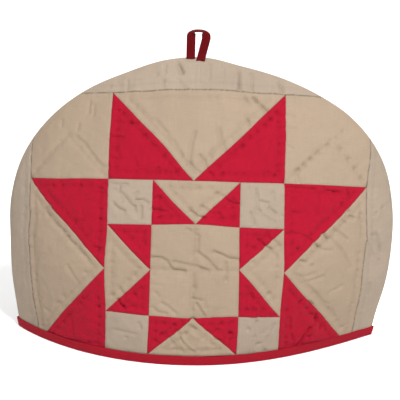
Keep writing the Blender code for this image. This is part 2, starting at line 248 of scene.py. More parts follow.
# Creases of the front: depth and half width in millimetres, then the places that they
# run through, across and up in patch sides. A depth below zero is a ridge.
CREASES = (
    # Upper left corner square
    (0.60, 1.9, (-1.40, 2.48), (-1.29, 2.39), (-1.22, 2.30), (-1.08, 2.14), (-1.0, 2.13)),
    (0.52, 1.4, (-1.27, 2.91), (-1.27, 2.76)),
    (0.52, 1.4, (-1.21, 2.84), (-1.21, 2.73)),
    (0.45, 1.4, (-1.38, 2.63), (-1.38, 2.56)),
    (0.45, 1.4, (-1.59, 2.67), (-1.59, 2.60)),
    # Upper left red point
    (0.65, 1.4, (-0.94, 2.66), (-0.69, 2.63)),
    (0.85, 1.4, (-0.98, 2.48), (-0.85, 2.47)),
    (0.52, 1.4, (-0.96, 2.35), (-0.89, 2.30), (-0.87, 2.22)),
    (0.65, 1.4, (-0.98, 2.23), (-0.90, 2.22)),
    (0.52, 1.4, (-0.58, 2.39), (-0.46, 2.37)),
    (0.78, 1.4, (-0.44, 2.13), (-0.43, 2.08)),
    (0.45, 1.4, (-0.70, 2.22), (-0.69, 2.16)),
    # Upper large triangle
    (0.75, 1.4, (0.52, 2.94), (0.58, 2.87)),
    (1.20, 1.6, (0.63, 2.94), (0.78, 2.80)),
    (0.75, 1.5, (-0.02, 2.53), (-0.04, 2.39), (-0.05, 2.24)),
    (0.75, 1.5, (-0.07, 2.22), (0.02, 2.12), (0.06, 2.09)),
    (0.60, 1.4, (-0.17, 2.32), (-0.14, 2.27)),
    (0.95, 1.5, (0.06, 2.28), (0.12, 2.22), (0.14, 2.15)),
    (0.60, 1.4, (0.20, 2.34), (0.18, 2.26)),
    (0.45, 1.8, (-0.47, 2.66), (-0.34, 2.52)),
    (0.40, 1.6, (-0.26, 2.43), (-0.22, 2.38)),
    (0.35, 2.0, (0.26, 2.83), (0.24, 2.57)),
    (0.95, 1.6, (0.24, 2.57), (0.28, 2.44), (0.34, 2.33)),
    (0.75, 1.5, (0.55, 2.74), (0.58, 2.63)),
    (0.40, 1.4, (0.47, 2.65), (0.47, 2.58)),
    (0.40, 1.4, (0.63, 2.77), (0.64, 2.72)),
    (0.40, 1.4, (0.39, 2.49), (0.41, 2.44)),
    # Upper right red point and corner square
    (0.90, 1.4, (0.17, 2.10), (0.21, 2.05)),
    (0.65, 1.4, (0.88, 2.79), (0.95, 2.75), (1.10, 2.76)),
    (0.50, 1.4, (0.90, 2.62), (1.12, 2.61)),
    (0.50, 1.4, (0.92, 2.43), (0.99, 2.43)),
    (0.35, 1.4, (1.02, 2.42), (1.08, 2.38)),
    (0.65, 1.5, (1.12, 2.14), (1.17, 2.02)),
    # Right red point, above
    (1.00, 1.5, (1.03, 1.96), (1.35, 1.95)),
    (1.00, 1.5, (1.48, 1.94), (1.62, 1.93)),
    (0.80, 1.5, (1.71, 1.98), (1.76, 1.88)),
    (0.65, 1.4, (1.11, 1.69), (1.15, 1.68)),
    (0.65, 1.5, (1.40, 1.90), (1.39, 1.67)),
    (1.00, 1.6, (1.28, 1.42), (1.32, 1.38)),
    (1.15, 1.6, (1.36, 1.34), (1.41, 1.30)),
    (1.30, 1.7, (1.45, 1.45), (1.51, 1.38)),
    (0.65, 1.5, (1.03, 1.45), (1.19, 1.45), (1.26, 1.42)),
    (1.00, 1.5, (1.19, 1.14), (1.24, 1.13)),
    # Right large triangle and the strip beside it
    (0.45, 1.6, (1.16, 0.98), (1.23, 0.95), (1.37, 0.99)),
    (0.80, 2.6, (1.52, 1.39), (1.63, 1.27), (1.72, 1.16), (1.79, 1.04)),
    (0.65, 1.5, (1.43, 1.27), (1.55, 1.26)),
    (0.65, 1.5, (1.57, 1.50), (1.72, 1.38)),
    (0.65, 1.4, (1.66, 1.60), (1.71, 1.57)),
    (1.15, 1.5, (1.77, 1.65), (1.82, 1.64)),
    (0.50, 1.6, (1.22, 0.88), (1.31, 0.90), (1.48, 0.95)),
    (0.45, 1.8, (1.25, 0.92), (1.31, 0.85), (1.44, 0.72), (1.72, 0.42)),
    (0.50, 1.5, (1.58, 0.74), (1.72, 0.82)),
    (0.50, 1.4, (1.55, 0.61), (1.60, 0.60)),
    (0.95, 2.6, (2.15, 1.43), (2.24, 1.22)),
    (-0.70, 2.4, (2.02, 1.39), (2.22, 1.18)),
    (0.80, 1.6, (2.09, 1.43), (2.19, 1.37)),
    (0.65, 1.5, (2.13, 0.83), (2.13, 0.69)),
    # Left large triangle
    (0.65, 1.4, (-1.74, 1.61), (-1.71, 1.58)),
    (0.50, 1.4, (-1.66, 1.52), (-1.52, 1.41)),
    (0.65, 1.4, (-1.44, 1.30), (-1.37, 1.26)),
    (0.50, 1.5, (-1.32, 1.23), (-1.20, 1.10)),
    (0.50, 2.6, (-1.49, 1.33), (-1.69, 1.16)),
    (0.40, 2.6, (-1.69, 1.16), (-1.86, 1.05)),
    (0.40, 1.6, (-1.45, 1.01), (-1.31, 0.79)),
    (0.65, 1.5, (-1.71, 1.70), (-1.83, 1.59)),
    (0.35, 1.4, (-1.85, 0.47), (-1.75, 0.42)),
    # Left red points
    (0.50, 1.4, (-1.38, 1.54), (-1.29, 1.53)),
    (0.65, 1.4, (-1.14, 1.23), (-1.05, 1.23)),
    (0.50, 1.3, (-1.12, 1.98), (-1.01, 1.93)),
    (0.50, 1.3, (-1.12, 1.89), (-1.03, 1.87)),
    (0.50, 1.3, (-1.14, 1.85), (-1.03, 1.84)),
    (0.65, 1.4, (-1.29, 0.64), (-1.25, 0.62)),
    (0.65, 2.6, (-1.47, 0.41), (-1.53, 0.34)),
    (0.50, 1.5, (-1.44, 0.38), (-1.41, 0.17)),
    # Inner star: upper left square
    (0.90, 1.4, (-0.87, 1.93), (-0.87, 1.86), (-0.85, 1.79), (-0.82, 1.77)),
    (1.10, 1.4, (-0.80, 1.80), (-0.73, 1.71), (-0.69, 1.70)),
    (0.90, 1.4, (-0.93, 1.73), (-0.87, 1.67), (-0.80, 1.65)),
    (0.90, 1.4, (-0.68, 1.77), (-0.60, 1.77), (-0.54, 1.74)),
    (0.90, 1.4, (-0.62, 1.70), (-0.62, 1.57)),
    (0.80, 1.3, (-0.95, 1.95), (-0.87, 1.94), (-0.79, 1.95)),
    (0.80, 2.6, (-0.90, 1.88), (-0.76, 1.76), (-0.66, 1.62)),
    (-0.50, 2.2, (-0.78, 1.64), (-0.68, 1.56)),
    (0.60, 1.4, (-0.71, 1.83), (-0.67, 1.86)),
    # Inner star: upper points and triangle
    (1.00, 1.5, (-0.49, 1.67), (-0.32, 1.64)),
    (0.65, 1.4, (-0.47, 1.80), (-0.41, 1.81)),
    (1.00, 1.5, (-0.05, 1.65), (0.02, 1.59), (0.09, 1.58)),
    (0.80, 1.5, (0.08, 1.71), (0.15, 1.66)),
    (0.80, 1.5, (0.25, 1.87), (0.32, 1.84)),
    (1.15, 1.5, (0.34, 1.81), (0.41, 1.77), (0.49, 1.76)),
    (0.65, 1.4, (0.28, 1.62), (0.28, 1.55)),
    (0.50, 1.4, (0.44, 1.66), (0.44, 1.58)),
    # Inner star: upper right square
    (0.80, 1.5, (0.68, 1.92), (0.70, 1.81), (0.69, 1.66)),
    (0.80, 1.4, (0.72, 1.80), (0.81, 1.78)),
    (0.90, 1.4, (0.69, 1.71), (0.72, 1.69)),
    (0.90, 1.4, (0.82, 1.73), (0.90, 1.67)),
    (-0.60, 1.8, (0.76, 1.69), (0.92, 1.60)),
    (0.90, 1.5, (0.63, 1.66), (0.67, 1.54)),
    (0.60, 1.4, (0.87, 1.89), (0.88, 1.82)),
    (0.50, 1.4, (0.60, 1.94), (0.62, 1.90)),
    # Middle square
    (0.95, 1.6, (-0.48, 1.14), (-0.38, 1.13), (-0.32, 1.10), (-0.25, 1.0), (-0.11, 0.99)),
    (0.80, 1.6, (-0.24, 1.09), (-0.07, 1.06), (0.02, 1.04), (0.16, 0.99)),
    (0.95, 1.6, (0.02, 1.20), (0.12, 1.13), (0.25, 1.0)),
    (0.70, 1.5, (0.03, 1.34), (0.03, 1.19)),
    (0.70, 1.5, (-0.09, 1.45), (0.04, 1.37)),
    (0.95, 1.6, (0.22, 1.20), (0.29, 1.18), (0.38, 1.13), (0.49, 1.12)),
    (0.80, 1.5, (0.35, 1.08), (0.36, 0.90)),
    (0.65, 1.5, (0.24, 0.99), (0.36, 0.98)),
    (0.65, 2.6, (-0.02, 0.95), (0.01, 0.83)),
    (0.50, 1.5, (-0.02, 0.81), (-0.01, 0.59)),
    (0.65, 1.4, (-0.02, 0.73), (0.10, 0.70)),
    (1.00, 1.5, (0.04, 0.67), (0.13, 0.52)),
    (0.50, 1.4, (0.13, 0.69), (0.14, 0.62)),
    (0.60, 1.6, (-0.46, 0.60), (-0.40, 0.55), (-0.31, 0.54)),
    (0.65, 1.5, (-0.36, 0.65), (-0.28, 0.62), (-0.19, 0.55)),
    (0.50, 1.4, (-0.43, 0.76), (-0.40, 0.73)),
    (0.35, 1.5, (-0.47, 0.85), (-0.36, 0.84)),
    # Inner star: left and right
    (0.65, 1.4, (-0.83, 0.77), (-0.76, 0.71)),
    (1.15, 1.6, (-0.85, 0.65), (-0.78, 0.56)),
    (1.15, 1.6, (0.70, 1.37), (0.77, 1.31), (0.85, 1.26)),
    (0.80, 1.5, (0.81, 1.47), (0.81, 1.40), (0.92, 1.35), (0.95, 1.31)),
    (0.50, 1.5, (0.84, 1.25), (0.92, 1.18)),
    (0.65, 1.4, (0.65, 0.74), (0.66, 0.54)),
    (-0.50, 1.6, (0.71, 0.62), (0.71, 0.52)),
    (0.50, 1.4, (0.79, 0.59), (0.79, 0.54)),
    # Inner star: foot
    (0.35, 1.5, (-0.89, 0.29), (-0.64, 0.26)),
    (0.65, 1.4, (-0.61, 0.40), (-0.59, 0.35)),
    (0.65, 1.4, (-0.12, 0.47), (-0.12, 0.42)),
    (0.60, 1.5, (-0.42, 0.19), (-0.36, 0.17)),
    (0.50, 1.5, (-0.27, 0.25), (-0.19, 0.14)),
    (0.60, 1.5, (-0.19, 0.35), (-0.14, 0.30)),
    (-0.40, 1.3, (-0.18, 0.30), (-0.07, 0.08)),
    (-0.40, 1.3, (-0.12, 0.27), (0.07, 0.05)),
    (-0.40, 1.3, (-0.07, 0.36), (0.07, 0.26)),
    (0.50, 1.3, (-0.15, 0.28), (-0.10, 0.19)),
    (0.25, 1.3, (-0.10, 0.20), (0.03, 0.06)),
    (0.60, 1.5, (-0.03, 0.41), (0.03, 0.37)),
    (0.50, 1.4, (0.18, 0.33), (0.25, 0.32)),
    (0.65, 1.4, (0.25, 0.23), (0.33, 0.21)),
    (0.45, 1.4, (0.39, 0.32), (0.44, 0.28)),
    (-0.60, 1.8, (0.67, 0.53), (0.67, 0.03)),
    (0.50, 1.4, (0.85, 0.24), (0.85, 0.14)),
    (0.50, 1.4, (0.94, 0.41), (0.91, 0.32)),
    # Lower right red point
    (1.30, 1.3, (1.40, 0.31), (1.33, 0.21), (1.26, 0.06)),
    (-0.60, 2.2, (1.32, 0.31), (1.25, 0.18), (1.19, 0.07)),
    (0.95, 1.6, (1.13, 0.48), (1.14, 0.33)),
    (0.80, 1.5, (1.16, 0.24), (1.18, 0.17)),
    (1.05, 1.6, (1.46, 0.47), (1.46, 0.37)),
    (0.90, 1.6, (1.35, 0.65), (1.41, 0.60)),
    # Top strip
    (1.20, 1.6, (-0.26, 3.36), (-0.19, 3.20)),
    (-0.70, 1.8, (-0.25, 3.18), (-0.10, 3.03)),
    (0.70, 1.4, (-0.38, 3.30), (-0.38, 3.21)),
    (0.65, 1.4, (-0.83, 3.13), (-0.83, 3.03)),
    (-0.55, 1.8, (0.0, 3.37), (0.0, 3.10)),
    (-0.55, 1.8, (0.26, 3.23), (0.26, 3.10)),
    (-0.55, 1.6, (0.42, 3.23), (0.42, 3.03)),
    (0.70, 1.5, (0.11, 3.31), (0.11, 3.13)),
    (0.75, 1.5, (0.44, 3.29), (0.45, 3.20), (0.45, 3.03)),
    (0.50, 1.4, (0.55, 3.18), (0.55, 3.10)),
    (0.65, 1.5, (0.61, 3.23), (0.61, 3.02)),
    (0.85, 1.5, (0.92, 3.14), (0.97, 3.03)),
)

# Dents of the front: place across and up in patch sides, and depth in millimetres
DENTS = (
    (-0.59, 2.47, 0.5),
    (-0.29, 2.08, 0.5),
    (-0.18, 2.11, 0.5),
    (0.84, 2.71, 0.6),
    (0.76, 2.63, 0.6),
    (0.67, 2.57, 0.6),
    (0.59, 2.50, 0.8),
    (0.52, 2.41, 0.7),
    (0.43, 2.34, 0.8),
    (0.35, 2.27, 0.7),
    (0.26, 2.18, 0.8),
    (0.30, 2.08, 0.6),
    (0.81, 2.11, 0.8),
    (0.92, 2.13, 0.6),
    (0.94, 2.51, 0.5),
    (0.94, 2.32, 0.5),
    (1.15, 2.15, 1.0),
    (1.22, 2.21, 0.9),
    (1.29, 2.28, 1.3),
    (1.37, 2.35, 1.0),
    (1.47, 2.44, 1.2),
    (1.55, 2.52, 0.8),
    (1.63, 2.60, 0.6),
    (1.61, 2.40, 0.8),
    (1.72, 2.30, 0.9),
    (1.82, 2.20, 0.8),
    (1.91, 2.10, 0.7),
    (1.45, 1.97, 1.0),
    (1.11, 1.83, 0.6),
    (1.45, 1.59, 0.8),
    (1.37, 1.51, 0.8),
    (1.09, 1.33, 0.6),
    (1.15, 1.27, 0.6),
    (1.33, 1.08, 0.8),
    (1.75, 1.71, 1.1),
    (1.66, 1.79, 0.8),
    (1.90, 1.76, 0.6),
    (1.90, 1.63, 0.6),
    (1.89, 1.20, 0.5),
    (1.67, 0.49, 0.5),
    (2.14, 1.70, 0.6),
    (2.24, 1.77, 0.5),
    (-2.12, 1.56, 0.3),
    (-2.10, 1.38, 0.3),
    (-1.47, 1.34, 1.0),
    (-1.32, 1.20, 0.6),
    (-1.23, 0.94, 0.6),
    (-1.52, 0.64, 0.5),
    (-1.60, 0.55, 0.5),
    (-1.86, 0.59, 0.5),
    (-1.11, 1.33, 0.5),
    (-1.20, 1.43, 0.3),
    (-1.08, 1.56, 0.3),
    (-1.08, 1.47, 0.3),
    (-1.36, 0.56, 0.5),
    (-1.09, 0.54, 0.6),
    (-1.11, 0.26, 0.6),
    (0.20, 1.63, 0.6),
    (0.26, 1.70, 0.6),
    (0.64, 1.93, 0.5),
    (0.87, 1.87, 0.3),
    (0.97, 1.65, 0.5),
    (0.02, 1.38, 0.6),
    (-0.46, 0.95, 0.6),
    (-0.72, 0.72, 0.6),
    (-0.92, 0.69, 0.5),
    (-0.57, 0.88, 0.6),
    (-0.66, 0.92, 0.5),
    (0.66, 1.26, 0.5),
    (0.64, 1.09, 0.6),
    (0.84, 0.76, 0.5),
    (0.93, 0.53, 1.0),
    (-0.75, 0.20, 0.5),
    (-0.44, 0.41, 0.6),
    (-0.21, 0.40, 0.8),
    (-0.31, 0.29, 0.6),
    (0.11, 0.41, 0.5),
    (0.71, 0.44, 0.8),
    (0.69, 0.25, 0.6),
    (0.75, 0.14, 0.8),
    (0.83, 0.04, 1.0),
    (0.62, 0.35, 0.6),
    (1.06, 0.56, 0.5),
    (1.13, 0.76, 0.6),
    (1.25, 0.68, 0.6),
    (1.32, 0.56, 0.6),
    (1.54, 0.29, 1.1),
    (1.40, 0.19, 1.0),
    (-0.48, 3.19, 0.5),
    (-0.40, 3.10, 1.0),
    (-0.40, 3.04, 0.6),
    (-1.04, 3.07, 0.5),
    (0.85, 3.04, 0.5),
)

UV_UNIT = 100 * MM  # length of cloth that one unit of the cloth's UV map stands for
PANEL_SHARP, TUBE_SHARP = 50, 60  # turn in degrees past which an edge is sharp
FAR = 50.0  # distance in millimetres at which no painted shade of seam or quilting shows, for the lining
SLUB, BLOTCH, THREAD = 0.20, 0.14, 0.05  # how much each changes the cloth's shade
# share of the colour for each patch's random tint, and the painted shade at the seams and
# along the quilting
TINT, SEAM_PAINTED_SHADE, QUILTING_PAINTED_SHADE = 0.025, -0.5, -0.04

# Square area lights: name, also of their power, then place and side in metres
LIGHTS = (
    ("key", (0.52, -1.05, 1.48), 0.4),
    ("fill", (-1.4, -1.0, 0.8), 1.2),
    ("behind", (0.0, 1.5, 1.8), 1.5),
)
LIGHT_AIM = 0.12  # height that they face
FLOOR = 14.0
FLOOR_BACK = 2.0  # how far the floor's middle lies behind the cosy
FLOOR_BELOW = 0.2 * MM  # and how far below its hem


def setting(name, text, value, **more):
    """A number, with its unit, subtype or limits."""
    return bpy.props.FloatProperty(name=name, description=text, default=value, **more)


def millimetres(name, text, value, low, high):
    """A length that is shown and kept in metres."""
    limits = {"min": low * MM, "max": high * MM}
    return setting(name, text, value * MM, unit="LENGTH", subtype="DISTANCE", **limits)


def degrees(name, text, value):
    """An angle that is shown in degrees."""
    return setting(name, text, math.radians(value), subtype="ANGLE")


def cloth_colour(name, text, value):
    """A cloth's colour."""
    return bpy.props.FloatVectorProperty(
        name=name,
        description=text,
        default=value,
        size=3,
        min=0.0,
        max=1.0,
        subtype="COLOR",
    )


class CosySizes(bpy.types.PropertyGroup):
    """Sizes of the patchwork and the quilting."""

    patch: millimetres("Patch", "Side of the star's largest squares", 76.2, 40, 120)
    echo: millimetres("Echo", "From a seam to its line of quilting", 6.35, 3, 12)
    puff: millimetres("Puff", "Rise of the wadding between the quilting", 0.9, 0, 2.2)
    stitch: millimetres("Stitch", "From one stitch to the next", 8.8, 3, 12)
    weave: millimetres("Weave", "From one thread of the cloth to the next", 0.45, 0.2, 1)


class CosyColours(bpy.types.PropertyGroup):
    """Colours of the cloths and the tape."""

    beige: cloth_colour("Beige", "Patches of the star block", (0.250, 0.190, 0.136))
    strip: cloth_colour("Strips", "Strips and inner corner squares", (0.246, 0.196, 0.150))
    back: cloth_colour("Back", "Plain cloth of the back", (0.254, 0.203, 0.158))
    lining: cloth_colour("Lining", "Plain cloth of the inside", (0.40, 0.32, 0.25))
    red: cloth_colour("Red", "Star points", (0.255, 0.0038, 0.0160))
    binding: cloth_colour("Binding", "Strip around the hem", (0.225, 0.0042, 0.0125))
    tape: cloth_colour("Tape", "Hanging loop", (0.075, 0.0008, 0.002))


class CosyStage(bpy.types.PropertyGroup):
    """Place of the camera and strength of the lights."""

    azimuth: degrees("Azimuth", "Camera's turn around the cosy", 0.63)
    elevation: degrees("Elevation", "Camera's height above the horizon", 18.78)
    roll: degrees("Roll", "Clockwise turn of the cosy in the picture", 1.255)
    distance: setting("Distance", "From the camera to its aim", 1.2, unit="LENGTH")
    aim: bpy.props.FloatVectorProperty(
        name="Aim",
        description="Point that the camera aims at",
        default=(-0.00139, 0.0, 0.12426),
        size=3,
        subtype="XYZ",
    )
    lens: setting("Lens", "Focal length on a 36 mm wide sensor", 123.0, unit="CAMERA")
    key: setting("Key light", "Power of the light at the upper right", 43.0, unit="POWER")
    fill: setting("Fill light", "Power of the light at the left", 10.0, unit="POWER")
    behind: setting("Floor light", "Power over the floor behind", 30.0, unit="POWER")
    room: setting("Room light", "Strength of the even light from all around", 0.52)


# The form ---------------------------------------------------------------------------


def seam_radius(angle):
    """Radius of the dome seam at angles above the hem line, in radians."""
    right = [(turn, side) for turn, side, _ in DOME_SEAM]
    left = [(180 - turn, side) for turn, _, side in DOME_SEAM[-2::-1]]
    knots, radii = np.array(right + left, float).T
    slopes = np.gradient(radii, knots)
    turn = np.degrees(angle)
    at = np.clip(np.searchsorted(knots, turn, side="right") - 1, 0, len(knots) - 2)
    span = knots[at + 1] - knots[at]
    part = (turn - knots[at]) / span
    start = (1 + 2 * part) * (1 - part) ** 2 * radii[at]
    end = part**2 * (3 - 2 * part) * radii[at + 1]
    leaving = part * (1 - part) ** 2 * span * slopes[at]
    arriving = part**2 * (part - 1) * span * slopes[at + 1]
    return (start + end + leaving + arriving) * MM


def form_depth(x, z, grow=0.0):
    """Distance from the seam plane to the skin, or to one grown or shrunk from it."""
    reach = np.hypot(x, z) / (seam_radius(np.arctan2(z, x)) + grow)
    fullness = 1 + SWELL * z / HEIGHT - LEFT_FULLER * x / HEIGHT
    rightward = np.clip(x / np.maximum(np.hypot(x, z), MM), 0, 1)
    roundness = ROUNDNESS + RIGHT_FLATTER * rightward**FLATTER_NEAR
    return (HALF_DEPTH + grow) * fullness * (1 - np.clip(reach, 0, 1) ** 2) ** roundness


def form_slopes(x, z):
    """How fast the depth changes across and upwards, kept short of the seam's edge."""
    low, high = np.maximum(z - SLOPE_STEP, 0), z + SLOPE_STEP
    across = form_depth(x + SLOPE_STEP, z) - form_depth(x - SLOPE_STEP, z)
    upward = form_depth(x, high) - form_depth(x, low)
    slopes = across / (2 * SLOPE_STEP), upward / (high - low)
    return [np.clip(slope, -STEEPEST, STEEPEST) for slope in slopes]


def running_length(slope, axis):
    """Arc length along one axis of a grid of slopes."""
    speed = np.moveaxis(np.sqrt(1 + slope**2), axis, 0)
    length = np.zeros_like(speed)
    length[1:] = np.cumsum((speed[1:] + speed[:-1]) / 2 * ARC_STEP, axis=0)
    return np.moveaxis(length, 0, axis)


def arc_tables():
    """Arc lengths along the skin, across and upwards, by row and column of a grid."""
    columns = np.arange(-ARC_COLUMNS, ARC_COLUMNS + 1) * ARC_STEP
    rows = np.arange(ARC_ROWS + 1) * ARC_STEP
    across_slope, upward_slope = form_slopes(*np.meshgrid(columns, rows))
    across = running_length(across_slope, 1)
    across -= across[:, [ARC_COLUMNS]]
    return across, running_length(upward_slope, 0)


ARCS = arc_tables()


def laid_flat(x, z):
    """Where a place of the form lies on the flat cloth: across and up, along the skin."""
    column = np.clip(x / ARC_STEP + ARC_COLUMNS, 0, 2 * ARC_COLUMNS - 1e-6)
    row = np.clip(z / ARC_STEP, 0, ARC_ROWS - 1e-6)
    left, low = column.astype(int), row.astype(int)
    right_share, up_share = column - left, row - low
    places = []
    for table in ARCS:
        levels = [
            table[at, left] * (1 - right_share) + table[at, left + 1] * right_share
            for at in (low, low + 1)
        ]
        places.append(levels[0] * (1 - up_share) + levels[1] * up_share)
    return places


def seam_laid_flat():
    """The dome seam from right to left: its angles, and its line on the flat cloth."""
    angles = np.linspace(0, math.pi, SEAM_POINTS)
    radii = seam_radius(angles)
    line = laid_flat(radii * np.cos(angles), np.abs(radii * np.sin(angles)))
    return angles, np.column_stack(line)


def hung(flat):
    """Where points of the flat cloth hang: angle around the hem's middle, and reach."""
    x, z = (flat * FIRST_GUESS).T
    for _ in range(ROUNDS):
        across, upward = laid_flat(x, z)
        x_slope, z_slope = form_slopes(x, z)
        x = x + STRIDE * (flat[:, 0] - across) / np.sqrt(1 + x_slope**2)
        z = np.maximum(z + STRIDE * (flat[:, 1] - upward) / np.sqrt(1 + z_slope**2), 0)
        reach = np.hypot(x, z) / seam_radius(np.arctan2(z, x))
        inside = np.minimum(reach, NEAREST_SEAM) / np.maximum(reach, 1e-9)
        x, z = x * inside, z * inside
    return np.arctan2(z, x), np.hypot(x, z) / seam_radius(np.arctan2(z, x))


def skin_points(angle, reach, grow, facing):
    """Points of a skin; facing is -1 for the front panel and 1 for the back."""
    radius = reach * (seam_radius(angle) + grow)
    x, z = radius * np.cos(angle), radius * np.sin(angle)
    y = facing * (SEAM_GAP + form_depth(x, z, grow))
    return np.column_stack((x, y, z + PANEL_FOOT))


def outward(points, facing):
    """Unit normals of the outer skin at some of its points."""
    x, z = points[:, 0], np.maximum(points[:, 2] - PANEL_FOOT, 0)
    across, upward = form_slopes(x, z)
    normals = np.column_stack((-across, facing * np.ones(len(x)), -upward))
    return normals / np.linalg.norm(normals, axis=1)[:, None]


# Patchwork --------------------------------------------------------------------------


def quarter_turns(corners):
    """A patch of a star block and its three copies around the block's middle."""
    for _ in range(4):
        yield corners
        corners = [(-up, across) for across, up in corners]


def star_patches(side):
    """Patches of a sawtooth star around the middle, without its middle square."""
    shapes = (
        ((1, 1), (2, 1), (2, 2), (1, 2)),
        ((-1, 2), (0, 1), (1, 2)),
        ((-1, 1), (0, 1), (-1, 2)),
        ((0, 1), (1, 1), (1, 2)),
    )
    for shape in shapes:
        for corners in quarter_turns(shape):
            yield [(across * side, up * side + STAR_MIDDLE) for across, up in corners]


def all_patches():
    """Patches of both stars and the middle square, in patch sides."""
    patches = list(star_patches(1.0)) + list(star_patches(0.5))
    low, high = STAR_MIDDLE - 0.5, STAR_MIDDLE + 0.5
    patches.append([(-0.5, low), (0.5, low), (0.5, high), (-0.5, high)])
    return patches


def strip_lines(outset):
    """Lines along the border strips, a distance in patch sides into them."""
    side, top = STRIPS_SIDE + outset, STRIPS_TOP + outset
    return [(-side, -1, -side, 4), (side, -1, side, 4), (-3, top, 3, top)]


def seam_lines():
    """Seams of the border strips, then those between patches."""
    lines = strip_lines(0)
    for patch in all_patches():
        for start, end in zip(patch, patch[1:] + patch[:1]):
            line = (*start, *end)
            if line[2:] + line[:2] not in lines:
                lines.append(line)
    return lines


def quilting_lines(echo):
    """Lines of quilting inside the triangles and strips, and those that cross patches."""
    lines = []
    for patch in all_patches():
        if len(patch) == 4:
            continue
        corners = [Vector(corner) for corner in patch]
        middle = sum(corners, Vector((0, 0))) / len(corners)
        inset = []
        for at, corner in enumerate(corners):
            before = (corner - corners[at - 1]).normalized()
            after = (corners[(at + 1) % len(corners)] - corner).normalized()
            inward = [Vector((-along.y, along.x)) for along in (before, after)]
            inward = [way if way.dot(middle - corner) > 0 else -way for way in inward]
            halfway = (inward[0] + inward[1]).normalized()
            inset.append(corner + halfway * echo / halfway.dot(inward[0]))
        for start, end in zip(inset, inset[1:] + inset[:1]):
            lines.append((start.x, start.y, end.x, end.y))
    return lines + strip_lines(echo) + list(CROSSINGS)


def nearest_line(lines, places):
    """Distance from places to the nearest of some lines, how far along, and which."""
    nearest = np.full(len(places), np.inf)
    along_it = np.zeros(len(places))
    which = np.zeros(len(places), int)
    for number, (x0, z0, x1, z1) in enumerate(lines):
        start = np.array((x0, z0), float)
        run = np.array((x1, z1), float) - start
        share = np.clip((places - start) @ run / (run @ run), 0, 1)
        apart = np.linalg.norm(places - start - share[:, None] * run, axis=1)
        closer = apart < nearest
        nearest[closer] = apart[closer]
        along_it[closer] = share[closer] * np.linalg.norm(run)
        which[closer] = number
    return nearest, along_it, which


def is_red(places):
    """Whether places of the pattern lie on a star point."""
    across, up = np.abs(places[:, 0]), np.abs(places[:, 1] - STAR_MIDDLE)
    inner = np.maximum(across, up) < 1
    across, up = np.where(inner, 2 * across, across), np.where(inner, 2 * up, up)
    longer, shorter = np.maximum(across, up), np.minimum(across, up)
    return (longer > 1) & (longer < 2) & (shorter < 1) & (shorter > longer - 1)


def is_greyer(places):
    """Whether places lie on the border strips or the inner star's corner squares."""
    across, up = np.abs(places[:, 0]), np.abs(places[:, 1] - STAR_MIDDLE)
    corner = (np.maximum(across, up) < 1) & (np.minimum(across, up) > 0.5)
    return corner | (across > STRIPS_SIDE) | (places[:, 1] > STRIPS_TOP)


def wandered(places):
    """Shift of the sewn seams at places of the pattern, on the flat cloth."""
    total = np.full(len(places), WANDER_REST)
    shift = np.zeros((len(places), 2))
    for across, up, right, upward in WANDER:
        apart = (places[:, 0] - across) ** 2 + (places[:, 1] - up) ** 2
        felt = np.exp(-apart / WANDER_REACH**2)
        total += felt
        shift += felt[:, None] * (right, upward)
    return shift / total[:, None] * MM


def front_on_cloth(places, patch):
    """Where places of the star pattern lie on the flat cloth."""
    across = places[:, 0] * patch - BLOCK_LEFT
    up = places[:, 1] * patch + BLOCK_FOOT - ROW_SAG * (places[:, 0] / 2) ** 2
    return np.column_stack((across, up)) + wandered(places)


def back_on_cloth(places, repeat):
    """Where places of the back's lattice lie on the flat cloth."""
    return places * repeat


# Relief -----------------------------------------------------------------------------


def unevenness(places, size, seed):
    """Soft random values from -1 to 1; size is the width of one swell.

    Two nets of random values, turned against each other, are laid over one another."""
    chance = np.random.default_rng(seed)
    total = np.zeros(len(places))
    for turn in NET_TURNS:
        table = chance.uniform(-NET_SPREAD, NET_SPREAD, (NET, NET))
        way = np.array((math.cos(turn), math.sin(turn)))
        turned = np.column_stack((places @ way, places @ (-way[1], way[0]))) / size
        whole = np.floor(turned).astype(int)
        part = turned - whole
        part = part**2 * (3 - 2 * part)
        rows = []
        for up in (0, 1):
            left = table[whole[:, 0] % NET, (whole[:, 1] + up) % NET]
            right = table[(whole[:, 0] + 1) % NET, (whole[:, 1] + up) % NET]
            rows.append(left + (right - left) * part[:, 0])
        total += rows[0] + (rows[1] - rows[0]) * part[:, 1]
    return total


def dimples(apart, along, which, pitch, shape, seed):
    """Depth in millimetres of a row of dimples, uneven and unevenly set, along lines.

    The lines are numbered; apart and along are distances from a line and along it."""
    chance = np.random.default_rng(seed)
    strength = chance.uniform(WEAKEST, 1.0, DRAWS) ** UNEVEN
    shift = chance.uniform(-STRAY, STRAY, DRAWS)
    depth, across_reach, along_reach = shape
    number = np.round(along / pitch).astype(int)
    key = (number + NEXT_LINE * which) % DRAWS
    beside = along - (number + shift[key]) * pitch
    shares = np.exp(-((apart / across_reach) ** 2) - (beside / along_reach) ** 2)
    return depth * strength[key] * shares


def quilted(quilting, along, which, flat, sizes, drawn=1.0, deeper=1.0):
    """Rise in millimetres of wadded cloth near its quilting, and of its stitches.

    Drawn is how far the quilting draws the cloth in, and deeper is how many times as
    deep its stitches are."""
    rise = sizes.puff / MM * (1 - drawn * np.exp(-((quilting / DRAW_IN) ** 2)))
    stitches = (sizes.stitch / MM, STITCH_DIMPLE, STITCH_SEED)
    rise -= deeper * dimples(quilting, along, which, *stitches)
    for number, (height, size) in enumerate(SWELLS):
        rise += height * unevenness(flat / MM, size, SWELL_SEED + number)
    return rise


